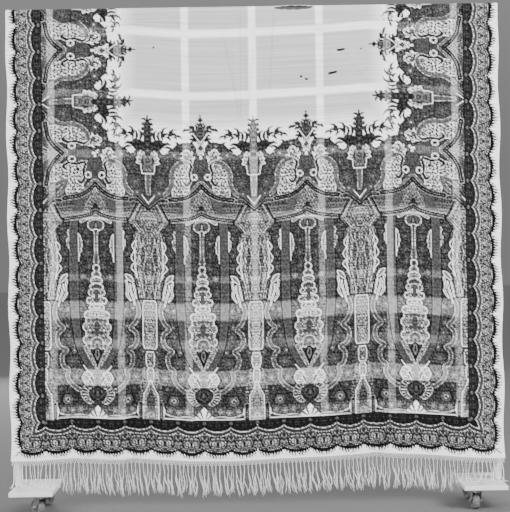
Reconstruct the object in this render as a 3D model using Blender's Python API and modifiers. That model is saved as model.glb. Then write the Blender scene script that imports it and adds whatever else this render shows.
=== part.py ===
# Long printed shawl hung over the rail of a rolling stand
# Metres, +Z up. X runs along the rail, -Y is the side that is looked at, and the origin is on the
# floor under the middle of the stand.

import math

import bmesh
import bpy
import numpy as np
from mathutils import Matrix, Vector

# Driving dimensions of the shawl
SHAWL_WIDTH = 1.652
CLOTH = 0.0012             # wall of the woven cloth
SEAM = 0.0003              # clearance between neighbouring pieces
CREST_Z = 1.686            # top of the cloth over the rail
CREST_LEG = 0.030          # straight leg of the fold below the round of the rail
HEM_FLARE = 0.017          # how much further out the hem hangs than the cloth at the rail
EDGE_WAVE = 0.0030         # side edges wander in and out by this much
EDGE_PERIOD = 0.29
EDGE_LAG = 0.8             # the two falls' edges wander out of step by this turn
EDGE_START = 0.1           # share of the fall over which the wander grows
EDGE_POWER = 8             # how closely the wander keeps to the side edges
FLARE_POWER = 1.2
FOLD_START = 0.20          # length below the fold over the rail in which other folds fade in
FALL_ROWS = [0.0, 0.06, 0.16, 0.30, 0.44, 0.57, 0.69, 0.80, 0.90, 1.0]    # shares of the way down
COLUMN_SPACING = 0.052
NARROW_FOLD = 0.03         # a fold narrower than this has columns of its own
NARROW_REACH = 2.4         # widths to each side that those columns take the place of
NARROW_STEPS = (-2.0, -1.0, -0.5, 0.0, 0.5, 1.0, 2.0)
ROUND_STEPS = 11           # points round the top of the rail, and of the cloth over it
RAIL_COLUMNS = 13
RIP_POINTS = 10
RIP_TAPER = 0.45           # how much a rip narrows towards its two ends
RIP_CUTTER = 0.030         # length of a rip's cutter through the wall
RIP_CUTTER_OUT = 0.008     # how far out its inner end is

# Driving dimensions of the knotted fringe
STRANDS = 122              # at each end of the shawl
FRINGE = 0.118             # heading and strands together
HEM_GAP = 0.0005           # between the hem and the heading
HEADING = 0.015            # netted band that the strands hang from
HEADING_WALL = 0.0016
STRAND_WIDTH = 0.0032
STRAND_DEPTH = 0.0024
CORNER_STRANDS = 3         # thicker bunches at each end of the heading
CORNER_SWELL = 1.7
TIP_SHARE = 0.55           # a strand's tip, as a share of its width
FRINGE_INSET = 0.003       # the heading stops this far short of the side edges
LENGTH_SPREAD = (-0.008, 0.006)
LEAN = 0.003               # strands sweep sideways: the same for all, a slow wave, and a spread
LEAN_WAVE = 0.004
LEAN_TURN = 9.0
LEAN_SPREAD = 0.0018
SWAY = 0.003               # spread of strands in and out
BEND_DOWN = 0.55           # share of a free strand's length above its bend
BEND_LEAN = 0.4
BOARD_CLEAR = 0.006        # strands closer to a foot board than this lie over it
LIE_GAP = 0.0004
KNEE_RISE = 0.016          # a lying strand's knee: height, place outwards and share of its lean
KNEE_OUT = 0.004
KNEE_LEAN = 0.2
LIE_OUT = 0.018
LIE_LEAN = 0.3
LIE_SHORTEST = 0.012
FRONT_SPLAY = 0.30         # sideways for each length outwards, for strands that lie
BACK_SPLAY = 0.15
SEED = 7

# Driving dimensions of the stand
RAIL_RADIUS = 0.016        # round top of the rail
RAIL_HEIGHT = 0.040
FRAME_HALF = 0.818         # outer faces of the uprights and ends of the rail
POST_X = 0.022
POST_Y = 0.024
BOARD_X = 0.145
BOARD_Y = 0.360
BOARD_TOP = 0.0825
BOARD_WALL = 0.0155
EDGE_ROUND = 0.002

# Driving dimensions of the casters
CASTER_X = 0.716
CASTER_Y = 0.140
WHEEL_RADIUS = 0.028
TREAD = 0.025
TRAIL = 0.018
PLATE_SIDE = 0.050
PLATE_WALL = 0.003
CUP_RADIUS = 0.017
CUP_HEIGHT = 0.0024
CROWN_WALL = 0.0025
CROWN_RADIUS = 0.0165
CHEEK_WALL = 0.0025
CHEEK_GAP = 0.0015         # between the tread's side and a cheek
KINGPIN_RADIUS = 0.004
RIVET_RADIUS = 0.0065
RIVET_HEIGHT = 0.003
AXLE_RADIUS = 0.004
NUT_RADIUS = 0.0065
NUT_HEIGHT = 0.005
CHEEK_TOP = 0.8            # a cheek's top corners and back corner, as shares of the crown's radius
CHEEK_BACK = 0.6
CHEEK_DROP = 0.012         # how far the back corner is below the crown
CHEEK_NOSE = 0.009         # a cheek's corners round the axle: ahead of it, above it and below it
CHEEK_TOE = 0.006
CHEEK_ABOVE = 0.004
CHEEK_BELOW = 0.008
BRIDGE_SHARE = 0.75        # half the width of the bridge that joins the cheeks, by the crown's radius
FUSE = 0.001               # how far a piece reaches into the one it is fused to
SET_IN = 0.0004            # surfaces that would coincide are set in by this or half or a quarter of it
ROUND_SIDES = 20
BOLT_SIDES = 12
NUT_SIDES = 6
HUB_RADIUS = 0.011
HUB_STEP = 0.001           # slope of the hub's side
SIDE_RECESS = 0.003
RIM_WALL = 0.007
RIM_SLOPE = 0.0025
RIM_INSET = 0.0005
TREAD_ROUND = 0.005
RUNNING = 0.0003           # clearance of what turns
WHEEL_SIDES = 24

# Height of the hem under each place along the rail
HEM = [
    # x, z
    (-0.826, 0.170), (-0.730, 0.171), (-0.619, 0.177), (-0.450, 0.170), (-0.408, 0.175),
    (-0.285, 0.165), (-0.218, 0.160), (-0.084, 0.160), (0.151, 0.169), (0.251, 0.173),
    (0.385, 0.182), (0.519, 0.176), (0.687, 0.163), (0.826, 0.156),
]

# Folds of each fall: place along the rail, width, depth outwards (inwards where negative), the height
# where the fold begins to show, and the length over which it grows to its full depth
FRONT_FOLDS = [
    # x, width, depth, top, run
    (-0.745, 0.085, 0.008, 1.30, 0.80),
    (-0.610, 0.060, -0.006, 1.00, 0.70),
    (-0.500, 0.045, 0.009, 0.75, 0.45),
    (-0.427, 0.018, -0.015, 0.62, 0.30),
    (-0.365, 0.045, 0.008, 0.80, 0.45),
    (-0.215, 0.070, -0.005, 1.20, 0.80),
    (-0.062, 0.060, 0.006, 1.60, 1.10),
    (0.062, 0.050, -0.006, 1.60, 1.10),
    (0.190, 0.070, 0.006, 1.20, 0.80),
    (0.325, 0.045, 0.009, 0.80, 0.45),
    (0.399, 0.018, -0.016, 0.66, 0.30),
    (0.470, 0.045, 0.009, 0.80, 0.45),
    (0.600, 0.065, -0.006, 1.10, 0.80),
    (0.730, 0.080, 0.008, 1.30, 0.80),
]
BACK_FOLDS = [
    # x, width, depth, top, run
    (-0.720, 0.080, 0.008, 1.30, 0.80),
    (-0.560, 0.060, -0.008, 1.10, 0.70),
    (-0.400, 0.070, 0.010, 0.95, 0.60),
    (-0.280, 0.022, -0.013, 0.70, 0.35),
    (-0.130, 0.065, 0.007, 1.30, 0.90),
    (0.040, 0.060, -0.006, 1.45, 1.00),
    (0.200, 0.070, 0.008, 1.20, 0.80),
    (0.350, 0.050, -0.007, 0.90, 0.50),
    (0.520, 0.020, -0.014, 0.68, 0.32),
    (0.600, 0.050, 0.009, 0.90, 0.50),
    (0.750, 0.070, 0.006, 1.25, 0.80),
]

# Rips in the worn plain middle: centre along the rail, height, length, gape and slope in degrees
CREST_RIPS = [
    # x, z, length, gape, slope
    (0.142, 1.6775, 0.132, 0.013, 1.0),
]
FRONT_RIPS = [
    # x, z, length, gape, slope
    (0.298, 1.534, 0.030, 0.0052, 3.0),
    (0.270, 1.457, 0.034, 0.0052, 14.0),
    (0.164, 1.446, 0.012, 0.0050, -20.0),
    (0.181, 1.436, 0.014, 0.0056, 10.0),
    (-0.331, 1.550, 0.008, 0.0048, 0.0),
    (0.366, 1.536, 0.009, 0.0046, 30.0),
]

# Casters: name, side along X, side along Y, and how far each one is swivelled, in degrees
CASTERS = [
    # name, x side, y side, swivel
    ("front_left", -1, -1, 40.0),
    ("front_right", 1, -1, 4.0),
    ("back_left", -1, 1, 155.0),
    ("back_right", 1, 1, 198.0),
]

# Sizes that follow from the ones above
ARCH_Z = CREST_Z - CLOTH - SEAM - RAIL_RADIUS
WALL_OUT = RAIL_RADIUS + SEAM + CLOTH / 2
SEAM_Z = ARCH_Z - CREST_LEG
RAIL_BOTTOM = ARCH_Z + RAIL_RADIUS - RAIL_HEIGHT
BOARD_BOTTOM = BOARD_TOP - BOARD_WALL


def clear_scene():
    for item in list(bpy.data.objects):
        bpy.data.objects.remove(item)
    for group in list(bpy.data.collections):
        bpy.data.collections.remove(group)


def make_collection(name):
    group = bpy.data.collections.new(name)
    bpy.context.scene.collection.children.link(group)
    return group


def make_material(name, color, roughness, metallic=0.0):
    material = bpy.data.materials.new(name)
    material.use_nodes = True
    shader = material.node_tree.nodes["Principled BSDF"]
    shader.inputs["Base Color"].default_value = (*color, 1.0)
    shader.inputs["Roughness"].default_value = roughness
    shader.inputs["Metallic"].default_value = metallic
    return material


def add_object(name, mesh, group, material=None):
    item = bpy.data.objects.new(name, mesh)
    group.objects.link(item)
    if material is not None:
        mesh.materials.append(material)
    return item


def mesh_from_bmesh(name, bm):
    bmesh.ops.recalc_face_normals(bm, faces=bm.faces)
    mesh = bpy.data.meshes.new(name)
    bm.to_mesh(mesh)
    bm.free()
    return mesh


def box(name, low, high, group, material, bevel=0.0):
    """A box between two corners, placed by its location, with rounded edges."""
    size = Vector(high) - Vector(low)
    bm = bmesh.new()
    bmesh.ops.create_cube(bm, size=1.0, matrix=Matrix.Diagonal((*size, 1.0)))
    item = add_object(name, mesh_from_bmesh(name, bm), group, material)
    item.location = (Vector(low) + Vector(high)) / 2
    if bevel:
        rounding = item.modifiers.new("Bevel", "BEVEL")
        rounding.width = bevel
        rounding.segments = 1
    return item


def join_by_union(item, others):
    """Fuse others into item, so that they are one solid."""
    for index, other in enumerate(others):
        fuse = item.modifiers.new(f"Union {index}", "BOOLEAN")
        fuse.operation = "UNION"
        fuse.solver = "EXACT"
        fuse.object = other
        make_guide(other)


def make_guide(item):
    item.hide_render = True
    item.display_type = "WIRE"


def smooth(value):
    """Ease from 0 to 1 with level ends."""
    value = np.clip(value, 0.0, 1.0)
    return value * value * (3 - 2 * value)


def hem_height(x):
    xs, zs = np.array(HEM).T
    return np.interp(x, xs, zs)


def fall_out(x, z, folds):
    """How far the middle of the wall hangs from the stand's mid-plane."""
    down = (SEAM_Z - z) / (SEAM_Z - hem_height(x))
    out = WALL_OUT + HEM_FLARE * np.clip(down, 0.0, 1.0) ** FLARE_POWER
    for place, width, depth, top, run in folds:
        grown = smooth((top - z) / run) * smooth((SEAM_Z - z) / FOLD_START)
        out = out + depth * grown * np.exp(-(((x - place) / width) ** 2))
    return out


def fold_columns(folds):
    """Places along the rail where the wall has a column of points, closer together at narrow folds."""
    half = SHAWL_WIDTH / 2
    columns = list(np.linspace(-half, half, round(SHAWL_WIDTH / COLUMN_SPACING) + 1))
    for place, width, _, _, _ in folds:
        if width < NARROW_FOLD:
            columns = [x for x in columns if abs(x - place) > NARROW_REACH * width]
            columns += [place + width * step for step in NARROW_STEPS]
    return np.array(sorted(columns))


def sheet_mesh(name, points):
    """An open surface through a grid of points, rows by columns by 3."""
    rows, columns, _ = points.shape
    index = np.arange(rows * columns).reshape(rows, columns)
    quads = np.stack([index[:-1, :-1], index[1:, :-1], index[1:, 1:], index[:-1, 1:]], axis=-1)
    mesh = bpy.data.meshes.new(name)
    mesh.from_pydata(points.reshape(-1, 3).tolist(), [], quads.reshape(-1, 4).tolist())
    return mesh


def give_wall(item, thickness):
    wall = item.modifiers.new("Wall", "SOLIDIFY")
    wall.thickness = thickness
    wall.offset = 0.0
    wall.use_even_offset = True


def rip_cutter(item, rip, number, side, cutters):
    """A lens-shaped cutter, pointed at both ends, that passes through the wall."""
    x, z, length, gape, slope = rip
    turns = np.linspace(0, 2 * math.pi, RIP_POINTS, endpoint=False)
    bm = bmesh.new()
    ring = []
    for turn in turns:
        along = math.cos(turn) * length / 2
        across = math.sin(turn) * gape / 2 * (1 - RIP_TAPER * math.cos(turn) ** 4)
        ring.append(bm.verts.new((along, -RIP_CUTTER, across)))
    face = bm.faces.new(ring)
    through = bmesh.ops.extrude_face_region(bm, geom=[face])
    moved = [part for part in through["geom"] if isinstance(part, bmesh.types.BMVert)]
    bmesh.ops.translate(bm, verts=moved, vec=(0, RIP_CUTTER, 0))
    cutter = add_object(f"{item.name}_rip_{number}", mesh_from_bmesh("rip", bm), cutters)
    cutter.location = (x, side * RIP_CUTTER_OUT, z)
    cutter.rotation_euler = (0, -math.radians(slope), 0)
    make_guide(cutter)
    cut = item.modifiers.new(f"Rip {number}", "BOOLEAN")
    cut.operation = "DIFFERENCE"
    cut.solver = "EXACT"
    cut.object = cutter


def fall_points(side, folds):
    """Points through the middle of one fall's wall, in rows from the fold down to the hem."""
    x, down = np.meshgrid(fold_columns(folds), FALL_ROWS)
    top = SEAM_Z - SEAM / 2
    z = top + (hem_height(x) - top) * down
    half = SHAWL_WIDTH / 2
    wave = np.sin(2 * math.pi * z / EDGE_PERIOD + EDGE_LAG * side)
    wander = EDGE_WAVE * wave * smooth(down / EDGE_START)
    y = side * fall_out(x, z, folds)
    x = x + wander * np.sign(x) * (np.abs(x) / half) ** EDGE_POWER
    return np.stack([x, y, z], axis=-1)


def make_fall(name, side, folds, rips, group, cutters, material):
    """One fall of the shawl, from the fold over the rail down to the hem."""
    item = add_object(name, sheet_mesh(name, fall_points(side, folds)), group, material)
    give_wall(item, CLOTH)
    for number, rip in enumerate(rips):
        rip_cutter(item, rip, number, side, cutters)
    return item


def make_fold(group, cutters, material):
    """The stretch that passes over the rail: a leg on each side and a half round."""
    arc = np.linspace(0, math.pi, ROUND_STEPS)
    y = np.concatenate([[-WALL_OUT], -WALL_OUT * np.cos(arc), [WALL_OUT]])
    z = np.concatenate([[SEAM_Z + SEAM / 2], ARCH_Z + WALL_OUT * np.sin(arc), [SEAM_Z + SEAM / 2]])
    x = np.linspace(-SHAWL_WIDTH / 2, SHAWL_WIDTH / 2, RAIL_COLUMNS)
    grid_y, grid_x = np.meshgrid(y, x)
    grid_z, _ = np.meshgrid(z, x)
    points = np.stack([grid_x, grid_y, grid_z], axis=-1)
    item = add_object("shawl_over_rail", sheet_mesh("shawl_over_rail", points), group, material)
    give_wall(item, CLOTH)
    for number, rip in enumerate(CREST_RIPS):
        rip_cutter(item, rip, number, -1, cutters)
    return item


def strand_path(start, side, length, lean, jitter):
    """Middle points of one strand from the heading down. Over a foot board it bends and lies on it."""
    x, y, z = start
    rest = BOARD_TOP + SEAM + STRAND_DEPTH / 2 + LIE_GAP
    if abs(x) < FRAME_HALF - BOARD_X - BOARD_CLEAR:
        bend = Vector((x + lean * BEND_LEAN, y + jitter, z - length * BEND_DOWN))
        return [start, bend, Vector((x + lean, y + jitter / 2, z - length))]
    splay = math.copysign(FRONT_SPLAY, lean) if side < 0 else BACK_SPLAY
    along = Vector((splay, side, 0)).normalized()
    knee = Vector((x + lean * KNEE_LEAN, y + side * KNEE_OUT, rest + KNEE_RISE))
    lying = Vector((x + lean * LIE_LEAN, y + side * LIE_OUT, rest))
    left_over = length - (z - rest) - KNEE_RISE
    return [start, knee, lying, lying + along * max(left_over, LIE_SHORTEST)]


def make_fringe(name, side, folds, group, material):
    """The netted heading as one strip, with a strand drawn down out of each of its cells."""
    random = np.random.default_rng(SEED + side)
    half = SHAWL_WIDTH / 2 - FRINGE_INSET
    xs = np.linspace(-half, half, STRANDS + 1)
    hem_x, hem_y, hem_z = fall_points(side, folds)[-1].T
    top = np.interp(xs, hem_x, hem_z) - HEM_GAP
    y = np.interp(xs, hem_x, hem_y)
    bm = bmesh.new()
    sections = []
    for x, out, z in zip(xs, y, top):
        near = out - HEADING_WALL / 2
        far = out + HEADING_WALL / 2
        corners = [(x, near, z - HEADING), (x, far, z - HEADING), (x, far, z), (x, near, z)]
        sections.append([bm.verts.new(corner) for corner in corners])
    cells = []
    for left, right in zip(sections, sections[1:]):
        for a in range(4):
            b = (a + 1) % 4
            face = bm.faces.new((left[a], left[b], right[b], right[a]))
            if a == 0:
                corners = {left[0]: (-1, -1), left[1]: (-1, 1), right[1]: (1, 1), right[0]: (1, -1)}
                cells.append((face, corners))
    bm.faces.new(sections[0])
    bm.faces.new(sections[-1][::-1])
    bmesh.ops.recalc_face_normals(bm, faces=bm.faces)
    for number, (cell, corners) in enumerate(cells):
        start = cell.calc_center_median()
        x = start.x
        lean = LEAN + LEAN_WAVE * math.sin(LEAN_TURN * x + side)
        lean += random.uniform(-LEAN_SPREAD, LEAN_SPREAD)
        length = FRINGE - HEADING + random.uniform(*LENGTH_SPREAD)
        jitter = random.uniform(-SWAY, SWAY)
        corner = min(number, len(cells) - 1 - number) < CORNER_STRANDS
        swell = CORNER_SWELL if corner else 1.0
        path = strand_path(start, side, length, lean, jitter)
        face = cell
        signs = [corners[vert] for vert in cell.verts]
        for step, point in enumerate(path[1:], start=1):
            grown = bmesh.ops.extrude_discrete_faces(bm, faces=[face])
            face = grown["faces"][0]
            ahead = path[min(step + 1, len(path) - 1)] - path[step - 1]
            run = ahead.normalized()
            across = (Vector((1, 0, 0)) - run * run.x).normalized()
            deep = run.cross(across)
            shrink = TIP_SHARE if step == len(path) - 1 else 1.0
            half_width = STRAND_WIDTH / 2 * swell * shrink
            half_depth = STRAND_DEPTH / 2 * shrink
            for vert, (sign_x, sign_y) in zip(face.verts, signs):
                vert.co = point + across * (sign_x * half_width) - deep * (sign_y * half_depth)
    return add_object(name, mesh_from_bmesh(name, bm), group, material)


def make_rail(group, material):
    """A bar with a round top, drawn out along X from its section."""
    arc = np.linspace(0, math.pi, ROUND_STEPS)
    outline = [(math.cos(turn) * RAIL_RADIUS, math.sin(turn) * RAIL_RADIUS) for turn in arc]
    base = RAIL_BOTTOM - ARCH_Z
    outline += [(-RAIL_RADIUS, base), (RAIL_RADIUS, base)]
    bm = bmesh.new()
    face = bm.faces.new([bm.verts.new((-FRAME_HALF, y, z)) for y, z in outline])
    drawn = bmesh.ops.extrude_face_region(bm, geom=[face])
    moved = [part for part in drawn["geom"] if isinstance(part, bmesh.types.BMVert)]
    bmesh.ops.translate(bm, verts=moved, vec=(2 * FRAME_HALF, 0, 0))
    item = add_object("rail", mesh_from_bmesh("rail", bm), group, material)
    item.location = (0, 0, ARCH_Z)
    return item


def make_side_frames(group, material):
    for label, side in (("left", -1), ("right", 1)):
        outer = side * FRAME_HALF
        post = side * (FRAME_HALF - POST_X)
        board = side * (FRAME_HALF - BOARD_X)
        low_x, high_x = sorted((outer, post))
        box(f"upright_{label}", (low_x, -POST_Y / 2, BOARD_TOP + SEAM),
            (high_x, POST_Y / 2, RAIL_BOTTOM - SEAM), group, material, EDGE_ROUND)
        low_x, high_x = sorted((outer, board))
        box(f"foot_board_{label}", (low_x, -BOARD_Y / 2, BOARD_BOTTOM),
            (high_x, BOARD_Y / 2, BOARD_TOP), group, material, EDGE_ROUND)


def cylinder(name, radius, low, high, group, material=None, sides=16, axis="Z"):
    """A round bar between two places on its axis, in its own frame."""
    bm = bmesh.new()
    bmesh.ops.create_cone(bm, cap_ends=True, segments=sides, radius1=radius, radius2=radius,
                          depth=high - low)
    bmesh.ops.translate(bm, verts=bm.verts, vec=(0, 0, (low + high) / 2))
    if axis == "X":
        bmesh.ops.rotate(bm, verts=bm.verts, matrix=Matrix.Rotation(math.pi / 2, 3, "Y"))
    return add_object(name, mesh_from_bmesh(name, bm), group, material)


def make_caster(name, x_side, y_side, swivel, group, cutters, steel, tyre):
    """Top plate with its kingpin, swivelling fork with the axle, and a wheel on the axle."""
    stem = bpy.data.objects.new(f"{name}_swivel_axis", None)
    stem.location = (x_side * CASTER_X, y_side * CASTER_Y, 0)
    group.objects.link(stem)
    plate_top = BOARD_BOTTOM - SEAM
    plate_low = plate_top - PLATE_WALL
    cup_low = plate_low - CUP_HEIGHT
    crown_top = cup_low - RUNNING
    crown_low = crown_top - CROWN_WALL
    half = PLATE_SIDE / 2
    plate = box(f"caster_{name}_plate", (-half, -half, plate_low), (half, half, plate_top), group,
                steel)
    cup = cylinder(f"{name}_cup", CUP_RADIUS, cup_low, plate_low + FUSE, cutters, steel, ROUND_SIDES)
    pin = cylinder(f"{name}_kingpin", KINGPIN_RADIUS, crown_low - RUNNING - FUSE,
                   plate_low + 2 * FUSE, cutters, steel, BOLT_SIDES)
    rivet = cylinder(f"{name}_rivet", RIVET_RADIUS, crown_low - RUNNING - RIVET_HEIGHT,
                     crown_low - RUNNING, cutters, steel, BOLT_SIDES)
    join_by_union(plate, (cup, pin, rivet))

    fork_axis = bpy.data.objects.new(f"{name}_fork_axis", None)
    fork_axis.rotation_euler = (0, 0, math.radians(swivel))
    group.objects.link(fork_axis)
    crown = cylinder(f"caster_{name}_fork", CROWN_RADIUS, crown_low, crown_top, group, steel,
                     ROUND_SIDES)
    inner = TREAD / 2 + CHEEK_GAP
    outer = inner + CHEEK_WALL
    top = CROWN_RADIUS * CHEEK_TOP
    outline = [(-top, crown_top - SET_IN / 2), (top, crown_top - SET_IN / 2),
               (TRAIL + CHEEK_NOSE, WHEEL_RADIUS + CHEEK_ABOVE),
               (TRAIL + CHEEK_TOE, WHEEL_RADIUS - CHEEK_BELOW),
               (TRAIL - CHEEK_TOE, WHEEL_RADIUS - CHEEK_BELOW),
               (-CROWN_RADIUS * CHEEK_BACK, crown_low - CHEEK_DROP)]
    cheeks = []
    for label, side in (("near", -1), ("far", 1)):
        bm = bmesh.new()
        low = min(side * inner, side * outer)
        face = bm.faces.new([bm.verts.new((low, y, z)) for y, z in outline])
        drawn = bmesh.ops.extrude_face_region(bm, geom=[face])
        moved = [part for part in drawn["geom"] if isinstance(part, bmesh.types.BMVert)]
        bmesh.ops.translate(bm, verts=moved, vec=(CHEEK_WALL, 0, 0))
        cheeks.append(add_object(f"{name}_cheek_{label}", mesh_from_bmesh("cheek", bm), cutters))
    low_y = -CROWN_RADIUS * BRIDGE_SHARE
    bridge = box(f"{name}_bridge", (-outer + SET_IN, low_y, crown_low + SET_IN / 4),
                 (outer - SET_IN, -low_y, crown_top - SET_IN / 4), cutters, None)
    axle = cylinder(f"{name}_axle", AXLE_RADIUS, -outer - FUSE, outer + FUSE, cutters, None,
                    BOLT_SIDES, "X")
    axle.location = (0, TRAIL, WHEEL_RADIUS)
    nuts = []
    for side in (-1, 1):
        low, high = sorted((side * (outer - SET_IN * 3 / 4), side * (outer + NUT_HEIGHT)))
        nut = cylinder(f"{name}_nut_{side}", NUT_RADIUS, low, high, cutters, None, NUT_SIDES, "X")
        nut.location = (0, TRAIL, WHEEL_RADIUS)
        nuts.append(nut)
    join_by_union(crown, (bridge, *cheeks, axle, *nuts))
    bore = cylinder(f"{name}_king_bore", KINGPIN_RADIUS + RUNNING, crown_low - 2 * FUSE,
                    crown_top + 2 * FUSE, cutters, None, BOLT_SIDES)
    cut = crown.modifiers.new("King bore", "BOOLEAN")
    cut.operation = "DIFFERENCE"
    cut.solver = "EXACT"
    cut.object = bore
    make_guide(bore)

    wheel = make_wheel(f"caster_{name}_wheel", group, tyre)
    wheel.location = (0, TRAIL, WHEEL_RADIUS)
    for item in (plate, cup, pin, rivet, fork_axis):
        item.parent = stem
    for item in (crown, bridge, *cheeks, axle, *nuts, bore, wheel):
        item.parent = fork_axis


def make_wheel(name, group, material):
    """A turned wheel on an axis along X, with a bore for the axle and a flat facet underneath."""
    half = TREAD / 2
    bore = AXLE_RADIUS + RUNNING
    facet = math.pi / WHEEL_SIDES
    rim = WHEEL_RADIUS / math.cos(facet)
    profile = [(bore, half), (HUB_RADIUS, half), (HUB_RADIUS + HUB_STEP, half - SIDE_RECESS),
               (rim - RIM_WALL, half - SIDE_RECESS), (rim - RIM_WALL + RIM_SLOPE, half - RIM_INSET),
               (rim, half - TREAD_ROUND)]
    profile += [(radius, -place) for radius, place in reversed(profile)]
    bm = bmesh.new()
    verts = [bm.verts.new((radius, 0, place)) for radius, place in profile]
    for a, b in zip(verts, verts[1:] + verts[:1]):
        bm.edges.new((a, b))
    bmesh.ops.spin(bm, geom=bm.verts[:] + bm.edges[:], axis=(0, 0, 1), cent=(0, 0, 0),
                   angle=2 * math.pi, steps=WHEEL_SIDES, use_merge=True)
    bmesh.ops.remove_doubles(bm, verts=bm.verts, dist=0.00001)
    bmesh.ops.rotate(bm, verts=bm.verts, matrix=Matrix.Rotation(facet, 3, "Z"))
    bmesh.ops.rotate(bm, verts=bm.verts, matrix=Matrix.Rotation(math.pi / 2, 3, "Y"))
    return add_object(name, mesh_from_bmesh(name, bm), group, material)


def build():
    clear_scene()
    group = make_collection("Shawl on rolling stand")
    cutters = make_collection("Cutters")
    printed = make_material("printed wool", (0.20, 0.20, 0.20), 0.85)
    plain = make_material("worn plain middle", (0.62, 0.62, 0.61), 0.75)
    yarn = make_material("fringe yarn", (0.72, 0.72, 0.70), 0.80)
    paint = make_material("pale paint", (0.66, 0.66, 0.64), 0.45)
    steel = make_material("caster steel", (0.38, 0.38, 0.38), 0.35, 0.9)
    tyre = make_material("grey tyre", (0.12, 0.12, 0.12), 0.60)
    make_fall("shawl_front", -1, FRONT_FOLDS, FRONT_RIPS, group, cutters, printed)
    make_fold(group, cutters, plain)
    make_fall("shawl_back", 1, BACK_FOLDS, [], group, cutters, printed)
    make_fringe("fringe_front", -1, FRONT_FOLDS, group, yarn)
    make_fringe("fringe_back", 1, BACK_FOLDS, group, yarn)
    make_rail(group, paint)
    make_side_frames(group, paint)
    for name, x_side, y_side, swivel in CASTERS:
        make_caster(name, x_side, y_side, swivel, group, cutters, steel, tyre)


build()
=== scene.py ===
# %% [markdown]
# This notebook dresses the imported CAD model of a long printed shawl that hangs over the rail of a wheeled
# stand. The shawl is made again as fine cloth with its print, and its fringe as twisted threads. The
# stand keeps its CAD solids and only gets new paint, steel and rubber. First the frame is loaded.

import math

import bpy
import numpy as np
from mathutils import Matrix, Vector


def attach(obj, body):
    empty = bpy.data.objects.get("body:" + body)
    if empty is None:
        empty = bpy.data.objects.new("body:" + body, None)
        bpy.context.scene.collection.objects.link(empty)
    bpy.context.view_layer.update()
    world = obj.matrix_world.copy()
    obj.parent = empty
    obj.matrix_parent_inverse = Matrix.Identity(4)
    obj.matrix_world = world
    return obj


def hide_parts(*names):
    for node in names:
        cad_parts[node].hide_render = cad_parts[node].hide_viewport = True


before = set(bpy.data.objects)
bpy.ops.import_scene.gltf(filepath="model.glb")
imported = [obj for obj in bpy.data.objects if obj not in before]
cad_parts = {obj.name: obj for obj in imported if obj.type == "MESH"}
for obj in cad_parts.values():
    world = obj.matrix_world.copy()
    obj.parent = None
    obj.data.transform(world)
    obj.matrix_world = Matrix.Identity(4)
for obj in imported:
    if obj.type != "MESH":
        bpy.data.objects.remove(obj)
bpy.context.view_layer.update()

# %% [markdown]
# Many surfaces here are grids and tubes with thousands of points. Filling a mesh from whole numpy arrays
# is far quicker than adding one vertex at a time in a Python loop. A mesh keeps one long list of corners,
# its loops, and each face says where in that list it starts, so both quads and end caps can be given at
# once.

# %% Meshes from arrays
def mesh_piece(name, points, faces, material):
    """A smooth object at the origin from points and arrays of faces, with a row of corners for each face."""
    faces = [np.asarray(block) for block in faces if len(block)]
    corners = np.concatenate([block.ravel() for block in faces])
    totals = np.concatenate([np.full(len(block), block.shape[1]) for block in faces])
    mesh = bpy.data.meshes.new(name)
    mesh.vertices.add(len(points))
    mesh.vertices.foreach_set("co", np.ascontiguousarray(points, np.float32).ravel())
    mesh.loops.add(len(corners))
    mesh.loops.foreach_set("vertex_index", corners.astype(np.int32))
    mesh.polygons.add(len(totals))
    mesh.polygons.foreach_set("loop_start", (np.cumsum(totals) - totals).astype(np.int32))
    mesh.polygons.foreach_set("use_smooth", np.full(len(totals), True))
    mesh.update(calc_edges=True)
    mesh.validate()
    mesh.materials.append(material)
    item = bpy.data.objects.new(name, mesh)
    bpy.context.scene.collection.objects.link(item)
    return item


def grid_faces(rows, columns, turned=False):
    """Quads between neighbouring points of a grid, facing the other way where turned."""
    index = np.arange(rows * columns).reshape(rows, columns)
    corners = [index[:-1, :-1], index[1:, :-1], index[1:, 1:], index[:-1, 1:]]
    quads = np.stack(corners, axis=-1).reshape(-1, 4)
    return quads[:, ::-1] if turned else quads


def tubes(paths, radii, sides, away):
    """Points and faces of closed tubes: a ring across each path at each of its points.

    Away is any direction that no path follows, and each ring starts on that side.
    """
    count, steps, _ = paths.shape
    ahead = np.gradient(paths, axis=1)
    ahead /= np.linalg.norm(ahead, axis=2, keepdims=True)
    across = away - ahead * (ahead @ np.asarray(away))[..., None]
    across /= np.linalg.norm(across, axis=2, keepdims=True)
    deep = np.cross(ahead, across)
    turn = 2 * np.pi * np.arange(sides) / sides
    ring = across[:, :, None] * np.cos(turn)[:, None] + deep[:, :, None] * np.sin(turn)[:, None]
    points = paths[:, :, None] + ring * radii[:, :, None, None]
    index = np.arange(count * steps * sides).reshape(count, steps, sides)
    ahead_index = np.roll(index, -1, axis=2)
    walls = np.stack([index[:, :-1], ahead_index[:, :-1], ahead_index[:, 1:], index[:, 1:]], axis=-1)
    caps = np.concatenate([index[:, 0, ::-1], index[:, -1]])
    return points.reshape(-1, 3), [walls.reshape(-1, 4), caps]


def join(parts):
    """Several points-and-faces pairs as one."""
    points, faces, start = [], [], 0
    for part_points, part_faces in parts:
        points.append(part_points)
        faces += [block + start for block in part_faces]
        start += len(part_points)
    return np.concatenate(points), faces


# %% [markdown]
# A shader is a graph, but its sums read better as sums. This small class wraps a node's output, and each
# arithmetic sign adds one Math node. Any other node goes through one method that takes its type, settings
# and inputs.

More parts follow.
